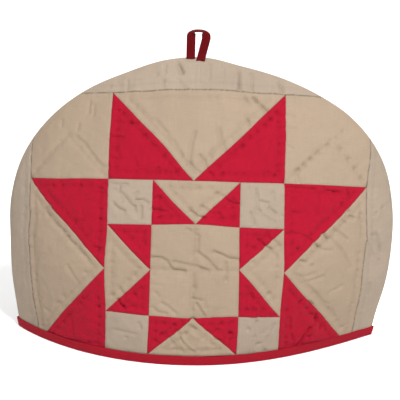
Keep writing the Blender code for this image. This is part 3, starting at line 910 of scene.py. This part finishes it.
def crease_shape(places, start, end, width, scale):
    """Share of a straight crease's depth at places of the pattern."""
    run = np.subtract(end, start)
    length = max(np.linalg.norm(run), 1e-6)
    way = run / length
    upper_right = np.array((-way[1], way[0]))
    upper_right *= math.copysign(1, upper_right.sum())
    offset = places - start
    along = offset @ way
    side = offset @ upper_right * scale
    wall = width * np.where(side > 0, SHADED_WALL, LIT_WALL)
    beyond = np.maximum(np.abs(along - length / 2) - length / 2, 0) * scale
    return np.exp(-((side / wall) ** 2) - (beyond / width) ** 2)


def creased(places, scale):
    """Rise in millimetres of the creases and dents, below zero in a trough."""
    troughs, ridges = np.zeros(len(places)), np.zeros(len(places))
    for depth, width, *stops in CREASES:
        for start, end in zip(stops, stops[1:]):
            low, high = np.minimum(start, end), np.maximum(start, end)
            reach = CREASE_REACH * width / scale
            inside = (places > low - reach) & (places < high + reach)
            near = np.flatnonzero(inside.all(axis=1))
            sunk = depth * crease_shape(places[near], start, end, width, scale)
            troughs[near] = np.maximum(troughs[near], sunk)
            ridges[near] = np.maximum(ridges[near], -sunk)
    for across, up, depth in DENTS:
        apart = np.linalg.norm(places - (across, up), axis=1) * scale
        troughs = np.maximum(troughs, depth * np.exp(-((apart / DENT) ** 2)))
    return CREASED * (ridges - troughs)


def front_crinkles(places, flat, seam):
    """Small crinkles, busiest on the red points, and long ones on the top strip."""
    height, size = CRINKLES
    inner = np.abs(places - (0, STAR_MIDDLE)).max(axis=1) < 1
    busier = INNER_BUSIER * inner + RED_BUSIER * is_red(places)
    busy = BUSY + busier * np.clip(seam / BUSIER_FROM_SEAM, 0, 1)
    rise = FOLDED * height * busy * np.abs(unevenness(flat / MM, size, FRONT_SEED))
    height, size, drawn_out = TOP_CRINKLES
    on_top = np.clip((places[:, 1] - TOP_CRINKLED) * TOP_GROWTH, 0, 1)
    return rise + height * on_top * unevenness(flat / MM * (1, drawn_out), size, TOP_SEED)


def front_relief(places, flat, sizes):
    """Rise of the front in millimetres, and its distances to seams and quilting, which set
    their painted shade.
    """
    scale = sizes.patch / MM
    red = is_red(places)
    seam, seam_along, seam_number = nearest_line(seam_lines(), places)
    lines = quilting_lines(sizes.echo / sizes.patch)
    quilting, along, number = nearest_line(lines, places)
    seam, quilting = seam * scale, quilting * scale
    drawn = np.where(is_greyer(places), STRIPS_DRAWN, 1.0)
    deeper = np.where(red, RED_DEEPER, drawn)
    rise = quilted(quilting, along * scale, number, flat, sizes, drawn, deeper)
    rise += creased(places, scale) * np.where(red, RED_CREASED, 1.0)
    rise += front_crinkles(places, flat, seam)
    puckers = (PUCKER_PITCH, SEAM_PUCKER, PUCKER_SEED)
    rise -= deeper * dimples(seam, seam_along * scale, seam_number, *puckers)
    rise -= SEAM_DITCH * np.exp(-((seam / SEAM_DITCH_WIDTH) ** 2))
    rise += PRESSED * red * np.clip(TURNING - seam, 0, 1) * np.clip(seam, 0, 1)
    # the seams' painted shade is darkest at the border strips; the others are shaded as if
    # further away
    shown = np.where(seam_number < STRIP_SEAMS, seam, seam + PATCH_SEAM_HIDDEN)
    return rise, shown, quilting


def back_relief(places, flat, sizes):
    """Rise of the back in millimetres, and its distance to the quilting, which sets its
    painted shade.
    """
    turns = np.array((places.sum(axis=1), places[:, 0] - places[:, 1]))
    scale = LATTICE / MM * math.sqrt(0.5)
    numbers = np.round(turns).astype(int)
    apart = np.abs(turns - numbers) * scale
    rising = apart[1] < apart[0]
    along = np.where(rising, turns[0], turns[1]) * scale
    which = np.where(rising, numbers[1] + RISING_FROM, numbers[0])
    quilting = apart.min(axis=0)
    height, size = CRINKLES
    rise = quilted(quilting, along, which, flat, sizes)
    return rise + height * unevenness(flat / MM, size, BACK_SEED), quilting


# Panels -----------------------------------------------------------------------------


def drawn_to_outline(flat):
    """Nearest places of the outline, and the dome seam's angle there or not a number."""
    angles, line = seam_laid_flat()
    start, run = line[:-1], np.diff(line, axis=0)
    share = ((flat[:, None] - start) * run).sum(axis=2) / (run**2).sum(axis=1)
    share = np.clip(share, 0, 1)
    foot = start + share[..., None] * run
    apart = np.linalg.norm(flat[:, None] - foot, axis=2)
    best = apart.argmin(axis=1)
    row = np.arange(len(flat))
    on_dome = foot[row, best]
    angle = angles[best] + share[row, best] * (angles[1] - angles[0])
    on_hem = np.column_stack((np.clip(flat[:, 0], line[-1, 0], line[0, 0]), flat[:, 1] * 0))
    nearer_hem = np.linalg.norm(flat - on_hem, axis=1) < apart[row, best]
    place = np.where(nearer_hem[:, None], on_hem, on_dome)
    return place, np.where(nearer_hem, np.nan, angle)


def cut_cloth(on_cloth, unit, steps, reach_across, reach_up):
    """Lattice of a panel's cloth, its edge drawn to the outline.

    Gives places of the pattern, flat places, the dome seam's angle where a point lies
    on it, whether a point is on the edge, and the lattice's cells."""
    across = np.arange(-reach_across * steps, reach_across * steps + 1) / steps
    up = np.arange(-reach_up[0] * steps, reach_up[1] * steps + 1) / steps
    grid = np.meshgrid(across, up)
    places = np.column_stack([side.ravel() for side in grid])
    flat = on_cloth(places, unit)
    _, line = seam_laid_flat()
    turn = np.arctan2(np.maximum(flat[:, 1], 0), flat[:, 0])
    outline = np.interp(turn, np.arctan2(line[:, 1], line[:, 0]), np.hypot(*line.T))
    spare = outline - np.hypot(*flat.T)
    pitch = unit / steps
    deep = (spare > 0) & (flat[:, 1] > 0)
    close = np.flatnonzero(deep & ((spare < NEAR_EDGE * pitch) | (flat[:, 1] < pitch)))
    near_place, _ = drawn_to_outline(flat[close])
    apart = np.linalg.norm(near_place - flat[close], axis=1)
    deep[close[apart < SNAP * pitch]] = False
    index = np.arange(len(places)).reshape(len(up), len(across))
    cells = np.stack((index[:-1, :-1], index[:-1, 1:], index[1:, 1:], index[1:, :-1]), 2)
    cells = cells.reshape(-1, 4)
    cells = cells[deep[cells].any(axis=1)]
    used = np.unique(cells)
    edge = used[~deep[used]]
    seam_angle = np.full(len(places), np.nan)
    flat[edge], seam_angle[edge] = drawn_to_outline(flat[edge])
    renamed = np.full(len(places), -1)
    renamed[used] = np.arange(len(used))
    return places[used], flat[used], seam_angle[used], ~deep[used], renamed[cells]


def halved(cells, places, lines):
    """Triangles of lattice cells, halved along the slanting lines that cross them."""
    middle = places[cells].mean(axis=1)
    size = np.ptp(places[cells[len(cells) // 2], 0])
    rising = np.ones(len(cells), bool)
    for slant in (-1, 1):
        slanting = [
            line for line in lines if (line[2] - line[0]) * (line[3] - line[1]) * slant > 0
        ]
        if slanting:
            apart, _, _ = nearest_line(slanting, middle)
            rising[apart < CROSSED * size] = slant > 0
    low_left, low_right, high_right, high_left = cells.T
    first = np.where(rising, low_left, low_right)
    third = np.where(rising, high_right, high_left)
    one = np.column_stack((first, np.where(rising, low_right, high_right), third))
    other = np.column_stack((first, third, np.where(rising, high_left, low_left)))
    return np.concatenate((one, other))


def boundary_chain(triangles, count):
    """Points that lie on edges with one triangle only."""
    sides = np.concatenate([triangles[:, [a, b]] for a, b in ((0, 1), (1, 2), (2, 0))])
    sides = np.sort(sides, axis=1)
    keys, times = np.unique(sides[:, 0] * count + sides[:, 1], return_counts=True)
    lone = keys[times == 1]
    return np.unique(np.concatenate((lone // count, lone % count)))


def welded(flat, triangles, columns):
    """Join points that fall together, and drop the triangles that this closes up."""
    key = np.round(flat / WELD).astype(np.int64)
    _, first, new = np.unique(key, axis=0, return_index=True, return_inverse=True)
    triangles = new.ravel()[triangles]
    a, b, c = triangles.T
    triangles = triangles[(a != b) & (b != c) & (c != a)]
    return triangles, [column[first] for column in columns]


class Face:
    """One face of a panel: its points, its triangles and its two edges in order."""

    def __init__(self, on_cloth, unit, steps, lines, grow, facing, reach):
        made = cut_cloth(on_cloth, unit, steps, *reach)
        places, flat, seam_angle, on_edge, cells = made
        triangles = halved(cells, places, lines)
        columns = (places, flat, seam_angle, on_edge)
        self.triangles, columns = welded(flat, triangles, columns)
        self.places, self.flat, seam_angle, on_edge = columns
        chain = boundary_chain(self.triangles, len(self.flat))
        self.angle, self.reach = hung(self.flat)
        on_seam = ~np.isnan(seam_angle)
        self.angle[on_seam], self.reach[on_seam] = seam_angle[on_seam], 1.0
        on_hem = on_edge & (self.flat[:, 1] < ON_HEM) & ~on_seam
        self.angle[on_hem] = np.where(self.flat[on_hem, 0] > 0, 0.0, math.pi)
        self.points = skin_points(self.angle, self.reach, grow, facing)
        seam = chain[on_seam[chain]]
        self.seam = seam[np.argsort(self.angle[seam])]
        hem = chain[on_hem[chain]]
        hem = hem[np.argsort(-self.flat[hem, 0])]
        self.hem = np.concatenate((self.seam[:1], hem, self.seam[-1:]))


def lace(first, second, first_place, second_place):
    """Triangles between two rows of points that run the same way."""
    triangles = []
    one = other = 0
    while one < len(first) - 1 or other < len(second) - 1:
        step_first = other == len(second) - 1
        if one < len(first) - 1 and not step_first:
            step_first = first_place[one + 1] <= second_place[other + 1]
        if step_first:
            triangles.append((first[one], first[one + 1], second[other]))
            one += 1
        else:
            triangles.append((first[one], second[other + 1], second[other]))
            other += 1
    return triangles


def edge_fade(face):
    """How much relief each point has: none at the dome seam and under the binding, and
    half at the binding's edge."""
    seam = (1 - face.reach) * HEIGHT / MM / EDGE_FADE
    hem = (face.points[:, 2] - STRIP_TOP) / MM / EDGE_FADE
    return np.clip(seam, 0, 1) * np.clip(hem + 0.5, 0, 1)


def cloth_mesh(name, points, faces, flat, sharp):
    """A smooth mesh whose faces point outwards, with the UV map of its flat cloth."""
    mesh = bpy.data.meshes.new(name)
    mesh.from_pydata(points.tolist(), [], faces)
    body = bmesh.new()
    body.from_mesh(mesh)
    bmesh.ops.recalc_face_normals(body, faces=body.faces)
    body.to_mesh(mesh)
    body.free()
    corners = np.empty(len(mesh.loops), np.int32)
    mesh.loops.foreach_get("vertex_index", corners)
    layer = mesh.uv_layers.new(name="cloth")
    spots = (flat / UV_UNIT)[corners]
    layer.data.foreach_set("uv", spots.ravel().astype(np.float32))
    mesh.shade_smooth()
    mesh.set_sharp_from_angle(angle=math.radians(sharp))
    return mesh


def closed_panel(name, face, rise, facing, materials, kinds):
    """A mesh of a panel: its face raised by the relief, its lining and their rims.

    Kinds are the materials of the face; the lining and rims have the last material."""
    lift = rise * edge_fade(face) * MM
    face.points += outward(face.points, facing) * lift[:, None]
    inside = Face(
        back_on_cloth, LINING_UNIT, LINING_STEPS, [], -WALL, facing, LINING_REACH
    )
    count = len(face.points)
    dome_seams = (face.seam, inside.seam + count)
    rims = lace(*dome_seams, face.angle[face.seam], inside.angle[inside.seam])
    hems = (face.hem, inside.hem + count)
    rims += lace(*hems, -face.points[face.hem, 0], -inside.points[inside.hem, 0])
    triangles = np.concatenate((face.triangles, inside.triangles + count, rims))
    points = np.concatenate((face.points, inside.points))
    flat = np.concatenate((face.flat, inside.flat))
    mesh = cloth_mesh(name, points, triangles.tolist(), flat, PANEL_SHARP)
    for material in materials:
        mesh.materials.append(material)
    plain = np.full(len(triangles) - len(kinds), len(materials) - 1)
    kinds = np.concatenate((kinds, plain)).astype(np.int32)
    mesh.polygons.foreach_set("material_index", kinds)
    return mesh


def add_measure(mesh, name, values):
    """A measured value at every point of a mesh, for its material."""
    padded = np.full(len(mesh.vertices), FAR, np.float32)
    padded[: len(values)] = values
    layer = mesh.attributes.new(name, "FLOAT", "POINT")
    layer.data.foreach_set("value", padded)


def patch_tints(mesh, places, triangles):
    """A faint tint for each square of the pattern's grid and the red points in it."""
    chance = np.random.default_rng(TINT_SEED)
    middle = places[triangles].mean(axis=1)
    inner = np.abs(middle - (0, STAR_MIDDLE)).max(axis=1) < 1
    scale = np.where(inner, 2, 1)
    spot = np.floor(middle * scale[:, None]).astype(int)
    key = np.column_stack((spot, scale + is_red(middle)))
    names, number = np.unique(key, axis=0, return_inverse=True)
    tints = np.zeros(len(mesh.polygons), np.float32)
    tints[: len(triangles)] = chance.uniform(-1, 1, len(names))[number.ravel()]
    layer = mesh.attributes.new("tint", "FLOAT", "FACE")
    layer.data.foreach_set("value", tints)


def add_object(name, mesh):
    """A finished piece of the cosy as an object that rides on its body."""
    piece = bpy.data.objects.new(name, mesh)
    bpy.context.scene.collection.objects.link(piece)
    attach(piece, BODY)
    return piece


# Binding ----------------------------------------------------------------------------


def folded_strip():
    """Section of the binding: growth from the skin and height, in millimetres."""
    outer = (STRIP_CLEAR + STRIP) / MM
    inner = -(WALL + STRIP_CLEAR + STRIP) / MM
    top, thick = STRIP_TOP / MM, STRIP / MM
    half = thick / 2

    def flank(face, bulge, shares):
        return [(face + bulge * math.sin(math.pi * share), top * share) for share in shares]

    def fold(middle):
        turns = np.linspace(0, math.pi, 7)
        rounded = [(math.cos(turn), 1 - math.sin(turn)) for turn in turns]
        return [(middle + half * out, top - half * down) for out, down in rounded]

    section = [(outer - ROUNDED, 0.0), (outer - ROUNDED_MID, ROUNDED_MID), (outer, ROUNDED)]
    section += flank(outer, BULGE, np.linspace(0.2, 0.8, 5)) + fold(outer - half)
    section += [(outer - thick, thick), (inner + thick, thick)]
    section += fold(inner + half) + flank(inner, -BULGE, np.linspace(0.8, 0.2, 5))
    section += [(inner, ROUNDED), (inner + ROUNDED_MID, ROUNDED_MID), (inner + ROUNDED, 0.0)]
    return section


def hem_reach(height, grow, side):
    """How far the hem line reaches to one side at a height above the panels' foot."""
    x = side * DOME_SEAM[0][1] * MM
    for _ in range(ROUNDS):
        radius = seam_radius(np.arctan2(height, x)) + grow
        x = side * math.sqrt(radius**2 - height**2)
    return x


def binding_ring(grow, height):
    """One turn around the hem: from the left corner along the front and back again."""
    level = max(height - PANEL_FOOT, 0.0)
    left, right = (hem_reach(level, grow, side) for side in (-1, 1))
    share = (1 - np.cos(np.linspace(0, math.pi, STRIP_STATIONS + 1))) / 2
    x = left + (right - left) * share
    y = form_depth(x, np.full_like(x, level), grow)
    y[0] = y[-1] = 0.0
    front = [(x[at], -y[at], height) for at in range(STRIP_STATIONS)]
    back = [(x[at], y[at], height) for at in range(STRIP_STATIONS, 0, -1)]
    return front + back


def strip_waves(rings):
    """How unevenly the upper edges of the strip run, none at its foot."""
    along = np.linalg.norm(np.diff(rings[0], axis=0, append=rings[0][:1]), axis=1)
    run = np.cumsum(along) / MM
    place = np.column_stack((run, np.zeros_like(run)))
    wave = 0
    for number, (height, length) in enumerate(STRIP_WAVES):
        wave = wave + height * unevenness(place, length, WAVE_SEED + number)
    share = rings[:, :, 2] / STRIP_TOP
    return np.clip(wave, -1, 0) * share**3 * MM


def tube_mesh(name, rings, endless):
    """A smooth skin over rings of points; endless rings close on themselves."""
    count, around = rings.shape[:2]
    one = np.arange(count)[:, None] * around + np.arange(around)
    after = np.roll(one, -1, axis=1)
    faces = np.stack((one, after, np.roll(after, -1, axis=0), np.roll(one, -1, axis=0)), 2)
    if endless:
        faces = faces.reshape(-1, 4).tolist()
    else:
        faces = faces[:-1].reshape(-1, 4).tolist() + one[[0, -1]].tolist()
    long_way = np.linalg.norm(np.diff(rings, axis=0, prepend=rings[:1]), axis=2)
    round_way = np.linalg.norm(np.diff(rings, axis=1, prepend=rings[:, :1]), axis=2)
    flat = np.stack((round_way.cumsum(axis=1), long_way.cumsum(axis=0)), 2)
    return cloth_mesh(name, rings.reshape(-1, 3), faces, flat.reshape(-1, 2), TUBE_SHARP)


# Hanging loop -----------------------------------------------------------------------


def loop_route():
    """The tape's middle line up the left leg, over and down, and its turn over.

    Its feet are sewn on in front of the dome seam."""
    dome = PANEL_FOOT + LOOP_BASE + LOOP_SEAT
    middle = (LOOP_LEFT + LOOP_RIGHT_TOP) / 2
    half = (LOOP_RIGHT_TOP - LOOP_LEFT) / 2
    left, right = [], []
    for leg, (below, ahead) in zip((left, right), LOOP_FEET):
        for share in np.linspace(0, 1, LEG_POINTS):
            z = dome + share * LOOP_SHOULDER - (1 - share) * below * MM
            back = 1 - min(share * LOOP_SHOULDER / LOOP_BEND, 1)
            leg.append((share, -ahead * MM * back**2, z))
    route = [(LOOP_LEFT, y, z, 0.0) for _, y, z in left]
    for angle in np.linspace(0, math.pi, TOP_POINTS)[1:-1]:
        level = math.cos(angle)
        x = middle - half * math.copysign(abs(level) ** LOOP_SQUARE, level)
        bow = math.sin(angle) ** LOOP_SQUARE
        z = dome + LOOP_SHOULDER + (LOOP_RISE - LOOP_SHOULDER) * bow
        route.append((x, 0.0, z, math.pi / 2 * (1 - level**3)))
    for share, y, z in reversed(right):
        x = LOOP_RIGHT_FOOT + share * (LOOP_RIGHT_TOP - LOOP_RIGHT_FOOT)
        route.append((x, y, z, math.pi))
    return route


def loop_sections():
    """Sections of a flat tape whose legs face the front and whose top lies flat."""
    route = loop_route()
    around = np.linspace(0, 2 * math.pi, TAPE_AROUND, endpoint=False)
    wide, high = (
        np.sign(circle) * np.abs(circle) ** power
        for circle, power in zip((np.cos(around), np.sin(around)), TAPE_SQUARE)
    )
    sections = []
    for at, (x, y, z, turned) in enumerate(route):
        before, after = route[max(at - 1, 0)], route[min(at + 1, len(route) - 1)]
        along = np.array(after[:3]) - np.array(before[:3])
        if turned in (0.0, math.pi):
            along[0] = 0.0
        width = np.array((math.cos(turned), -math.sin(turned), 0.0))
        thick = np.cross(along / np.linalg.norm(along), width)
        thick /= np.linalg.norm(thick)
        section = np.array((x, y, z)) + np.outer(wide * TAPE_WIDTH / 2, width)
        sections.append(section + np.outer(high * TAPE_THICK / 2, thick))
    return np.array(sections)


# Cloth materials --------------------------------------------------------------------


def adjusted(node, values):
    """A shader node, once the properties or inputs that values name are set."""
    for name, value in values.items():
        if hasattr(node, name):
            setattr(node, name, value)
        else:
            node.inputs[name.replace("_", " ")].default_value = value
    return node


def add_node(tree, kind, **values):
    """A new shader node with its values."""
    return adjusted(tree.nodes.new(kind), values)


def new_material(name, **values):
    """A material, its nodes, and its one shader with its values."""
    material = bpy.data.materials.new(name)
    material.use_nodes = True
    tree = material.node_tree
    return material, tree, adjusted(tree.nodes["Principled BSDF"], values)


def streaks(tree, place, scale, detail):
    """Noise drawn out along one direction, about 0.5."""
    mapping = add_node(tree, "ShaderNodeMapping", Scale=(*scale, 1))
    noise = add_node(tree, "ShaderNodeTexNoise", Scale=1.0, Detail=detail)
    tree.links.new(place, mapping.inputs["Vector"])
    tree.links.new(mapping.outputs["Vector"], noise.inputs["Vector"])
    return noise.outputs["Fac"]


def weighted_sum(tree, start, parts):
    """A number plus shader values, each less its middle and times its weight."""
    total = None
    for value, middle, weight in parts:
        term = add_node(tree, "ShaderNodeMath", operation="MULTIPLY_ADD")
        tree.links.new(value, term.inputs[0])
        term.inputs[1].default_value = weight
        term.inputs[2].default_value = -middle * weight
        if total is None:
            term.inputs[2].default_value += start
        else:
            add = add_node(tree, "ShaderNodeMath", operation="ADD")
            tree.links.new(term.outputs[0], add.inputs[0])
            tree.links.new(total, add.inputs[1])
            term = add
        total = term.outputs[0]
    return total


def measure(tree, name, low, high):
    """A measured value of the mesh, 1 up to low and falling to 0 at high."""
    read = add_node(tree, "ShaderNodeAttribute", attribute_name=name)
    ramp = add_node(
        tree,
        "ShaderNodeMapRange",
        interpolation_type="SMOOTHSTEP",
        From_Min=low,
        From_Max=high,
        To_Min=1.0,
        To_Max=0.0,
    )
    tree.links.new(read.outputs["Fac"], ramp.inputs["Value"])
    return ramp.outputs["Result"]


def threads(tree, place, pitch):
    """Waves of the warp and the weft of a plain weave, whose threads lie a pitch apart."""
    waves = []
    for direction in ("X", "Y"):
        wave = add_node(
            tree,
            "ShaderNodeTexWave",
            bands_direction=direction,
            Scale=math.pi / 10 / (pitch / UV_UNIT),
            Distortion=1.5,
            Detail=1.0,
            Detail_Scale=0.6,
        )
        tree.links.new(place, wave.inputs["Vector"])
        waves.append(wave.outputs["Fac"])
    return waves


def cotton(name, colour, weave, quilting_shaded=False, pieced=False):
    """Plain-woven cotton with slubs and faint blotches.

    Painted shade darkens its lines of quilting if asked, and its seams if it is pieced,
    which also gives each patch a faint random tint."""
    material, tree, shader = new_material(
        name,
        Roughness=0.92,
        Specular_IOR_Level=0.08,
        Sheen_Weight=0.03,
        Sheen_Roughness=0.5,
    )
    place = add_node(tree, "ShaderNodeUVMap", uv_map="cloth").outputs["UV"]
    warp, weft = threads(tree, place, weave)
    parts = [
        (streaks(tree, place, (6, 260), 3.0), 0.5, SLUB),
        (streaks(tree, place, (260, 6), 3.0), 0.5, SLUB),
        (streaks(tree, place, (5, 5), 4.0), 0.5, BLOTCH),
        (streaks(tree, place, (70, 70), 2.0), 0.5, 0.5 * BLOTCH),
        (warp, 0.5, THREAD),
        (weft, 0.5, THREAD),
    ]
    if pieced:
        tint = add_node(tree, "ShaderNodeAttribute", attribute_name="tint")
        parts.append((tint.outputs["Fac"], 0.0, TINT))
        # painted shade along the seams
        parts.append((measure(tree, "seam", 0.0, 1.0), 0.0, SEAM_PAINTED_SHADE))
    if quilting_shaded:
        # painted shade along the lines of quilting
        parts.append((measure(tree, "quilting", 0.2, 2.0), 0.0, QUILTING_PAINTED_SHADE))
    # the cloth's own tone, times the painted shade of its seams and quilting
    shade = weighted_sum(tree, 1.0, parts)
    tinted = add_node(tree, "ShaderNodeVectorMath", operation="SCALE")
    tinted.inputs[0].default_value = colour
    tree.links.new(shade, tinted.inputs["Scale"])
    tree.links.new(tinted.outputs["Vector"], shader.inputs["Base Color"])
    height = weighted_sum(tree, 0.0, [(warp, 0.0, 0.5), (weft, 0.0, 0.5)])
    bump = add_node(tree, "ShaderNodeBump", Strength=0.35, Distance=0.12 * MM)
    tree.links.new(height, bump.inputs["Height"])
    tree.links.new(bump.outputs["Normal"], shader.inputs["Normal"])
    return material


# Operators --------------------------------------------------------------------------


class CosyOperator(bpy.types.Operator):
    """Shared settings of the cosy's operators."""

    bl_options = {"REGISTER", "UNDO"}


class COSY_OT_front(CosyOperator):
    """Sew the pieced and quilted front panel"""

    bl_idname = "cosy.front"
    bl_label = "Front panel"

    def execute(self, context):
        sizes, colours = context.scene.cosy_sizes, context.scene.cosy_colours
        face = Face(
            front_on_cloth, sizes.patch, STEPS, seam_lines(), 0.0, -1, FRONT_REACH
        )
        rise, seam, quilting = front_relief(face.places, face.flat, sizes)
        middles = face.places[face.triangles].mean(axis=1)
        kinds = np.where(is_red(middles), 1, np.where(is_greyer(middles), 2, 0))
        materials = [
            cotton(f"{cloth}_cotton", colour, sizes.weave, quilting_shaded=True, pieced=True)
            for cloth, colour in (
                ("beige", colours.beige),
                ("red", colours.red),
                ("strip", colours.strip),
            )
        ]
        materials.append(cotton("lining_cotton", colours.lining, sizes.weave))
        mesh = closed_panel("patchwork_front", face, rise, -1, materials, kinds)
        # distances that set the painted shade along the seams and the quilting
        add_measure(mesh, "seam", seam)
        add_measure(mesh, "quilting", quilting)
        patch_tints(mesh, face.places, face.triangles)
        piece = add_object("patchwork_front", mesh)
        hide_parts("front_panel")
        return {"FINISHED"}


class COSY_OT_back(CosyOperator):
    """Quilt the plain back panel"""

    bl_idname = "cosy.back"
    bl_label = "Back panel"

    def execute(self, context):
        sizes, colours = context.scene.cosy_sizes, context.scene.cosy_colours
        face = Face(back_on_cloth, LATTICE, BACK_STEPS, [], 0.0, 1, BACK_REACH)
        rise, quilting = back_relief(face.places, face.flat, sizes)
        kinds = np.zeros(len(face.triangles), int)
        materials = [
            cotton("back_cotton", colours.back, sizes.weave, quilting_shaded=True),
            cotton("back_lining_cotton", colours.lining, sizes.weave),
        ]
        mesh = closed_panel("plain_back", face, rise, 1, materials, kinds)
        # distance that sets the painted shade along the quilting
        add_measure(mesh, "quilting", quilting)
        piece = add_object("plain_back", mesh)
        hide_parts("back_panel")
        return {"FINISHED"}


class COSY_OT_binding(CosyOperator):
    """Fold the binding around the hem"""

    bl_idname = "cosy.binding"
    bl_label = "Hem binding"

    def execute(self, context):
        sizes, colours = context.scene.cosy_sizes, context.scene.cosy_colours
        section = folded_strip()
        rings = np.array([binding_ring(grow * MM, height * MM) for grow, height in section])
        rings[:, :, 2] += strip_waves(rings)
        mesh = tube_mesh("bound_hem", rings, True)
        mesh.materials.append(cotton("binding_cotton", colours.binding, sizes.weave))
        piece = add_object("bound_hem", mesh)
        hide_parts("hem_binding")
        return {"FINISHED"}


class COSY_OT_loop(CosyOperator):
    """Sew on the hanging loop"""

    bl_idname = "cosy.loop"
    bl_label = "Hanging loop"

    def execute(self, context):
        sizes, colours = context.scene.cosy_sizes, context.scene.cosy_colours
        mesh = tube_mesh("tape_loop", loop_sections(), False)
        mesh.materials.append(cotton("loop_tape", colours.tape, sizes.weave))
        piece = add_object("tape_loop", mesh)
        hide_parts("hanging_loop")
        return {"FINISHED"}


class COSY_OT_stage(CosyOperator):
    """Set up the pale floor, the soft lights and the camera"""

    bl_idname = "cosy.stage"
    bl_label = "Stage"

    def execute(self, context):
        stage = context.scene.cosy_stage
        bpy.ops.object.select_all(action="DESELECT")
        place = (0, FLOOR_BACK, -FLOOR_BELOW)
        bpy.ops.mesh.primitive_plane_add(size=FLOOR, location=place)
        floor = context.object
        floor.name = "floor"
        bpy.ops.object.transform_apply(location=True, rotation=True, scale=True)
        pale = (0.93, 0.93, 0.93, 1)
        material, _, _ = new_material("pale_floor", Base_Color=pale, Roughness=0.9)
        floor.data.materials.append(material)
        world = bpy.data.worlds.new("room")
        world.use_nodes = True
        tree = world.node_tree
        background = tree.nodes["Background"]
        background.inputs["Color"].default_value = (1, 1, 1, 1)
        seen = add_node(tree, "ShaderNodeLightPath").outputs["Is Camera Ray"]
        strength = weighted_sum(tree, stage.room, [(seen, 0.0, 1.0 - stage.room)])
        tree.links.new(strength, background.inputs["Strength"])
        context.scene.world = world
        context.scene.view_settings.view_transform = "Standard"
        for name, place, size in LIGHTS:
            self.add_light(name, place, size, getattr(stage, name))
        self.add_camera(context, stage)
        return {"FINISHED"}

    def add_light(self, name, place, size, power):
        """A square area light that faces the cosy, or the floor below it if behind."""
        aim = Vector((0, max(place[1], 0), LIGHT_AIM))
        turn = (aim - Vector(place)).to_track_quat("-Z", "Y").to_euler()
        bpy.ops.object.light_add(type="AREA", location=place, rotation=turn)
        light = bpy.context.object
        light.name = name
        light.data.size = size
        light.data.energy = power

    def add_camera(self, context, stage):
        """The camera at the photograph's viewing angle."""
        level, raised = math.cos(stage.elevation), math.sin(stage.elevation)
        across, ahead = math.sin(stage.azimuth) * level, math.cos(stage.azimuth) * level
        back = Vector((across, -ahead, raised))
        bpy.ops.object.camera_add(location=Vector(stage.aim) + back * stage.distance)
        camera = context.object
        camera.name = "camera"
        turn = back.to_track_quat("Z", "Y").to_matrix()
        turn = turn @ Matrix.Rotation(stage.roll, 3, "Z")
        camera.rotation_euler = turn.to_euler()
        camera.data.lens = stage.lens
        camera.data.clip_start = 0.05
        context.scene.camera = camera


class COSY_PT_panel(bpy.types.Panel):
    """The cosy's tools in the sidebar"""

    bl_idname = "COSY_PT_panel"
    bl_label = "Tea Cosy"
    bl_space_type = "VIEW_3D"
    bl_region_type = "UI"
    bl_category = "Tea Cosy"

    def draw(self, context):
        for operator in OPERATORS:
            self.layout.operator(operator.bl_idname)
        for group in GROUPS:
            settings = getattr(context.scene, group)
            for name in settings.__annotations__:
                self.layout.prop(settings, name)


OPERATORS = (
    COSY_OT_front,
    COSY_OT_back,
    COSY_OT_binding,
    COSY_OT_loop,
    COSY_OT_stage,
)
GROUPS = {
    "cosy_sizes": CosySizes,
    "cosy_colours": CosyColours,
    "cosy_stage": CosyStage,
}


def register():
    """Register the classes and hang the settings on the scene."""
    for group in GROUPS.values():
        bpy.utils.register_class(group)
    for operator in OPERATORS:
        bpy.utils.register_class(operator)
    bpy.utils.register_class(COSY_PT_panel)
    for name, group in GROUPS.items():
        setattr(bpy.types.Scene, name, bpy.props.PointerProperty(type=group))


def unregister():
    """Undo register."""
    for name in GROUPS:
        delattr(bpy.types.Scene, name)
    bpy.utils.unregister_class(COSY_PT_panel)
    for operator in reversed(OPERATORS):
        bpy.utils.unregister_class(operator)
    for group in reversed(GROUPS.values()):
        bpy.utils.unregister_class(group)


def main():
    """Dress the cosy and set up its stage."""
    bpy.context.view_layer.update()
    register()
    bpy.ops.cosy.front()
    bpy.ops.cosy.back()
    bpy.ops.cosy.binding()
    bpy.ops.cosy.loop()
    bpy.ops.cosy.stage()


if __name__ == "__main__":
    main()
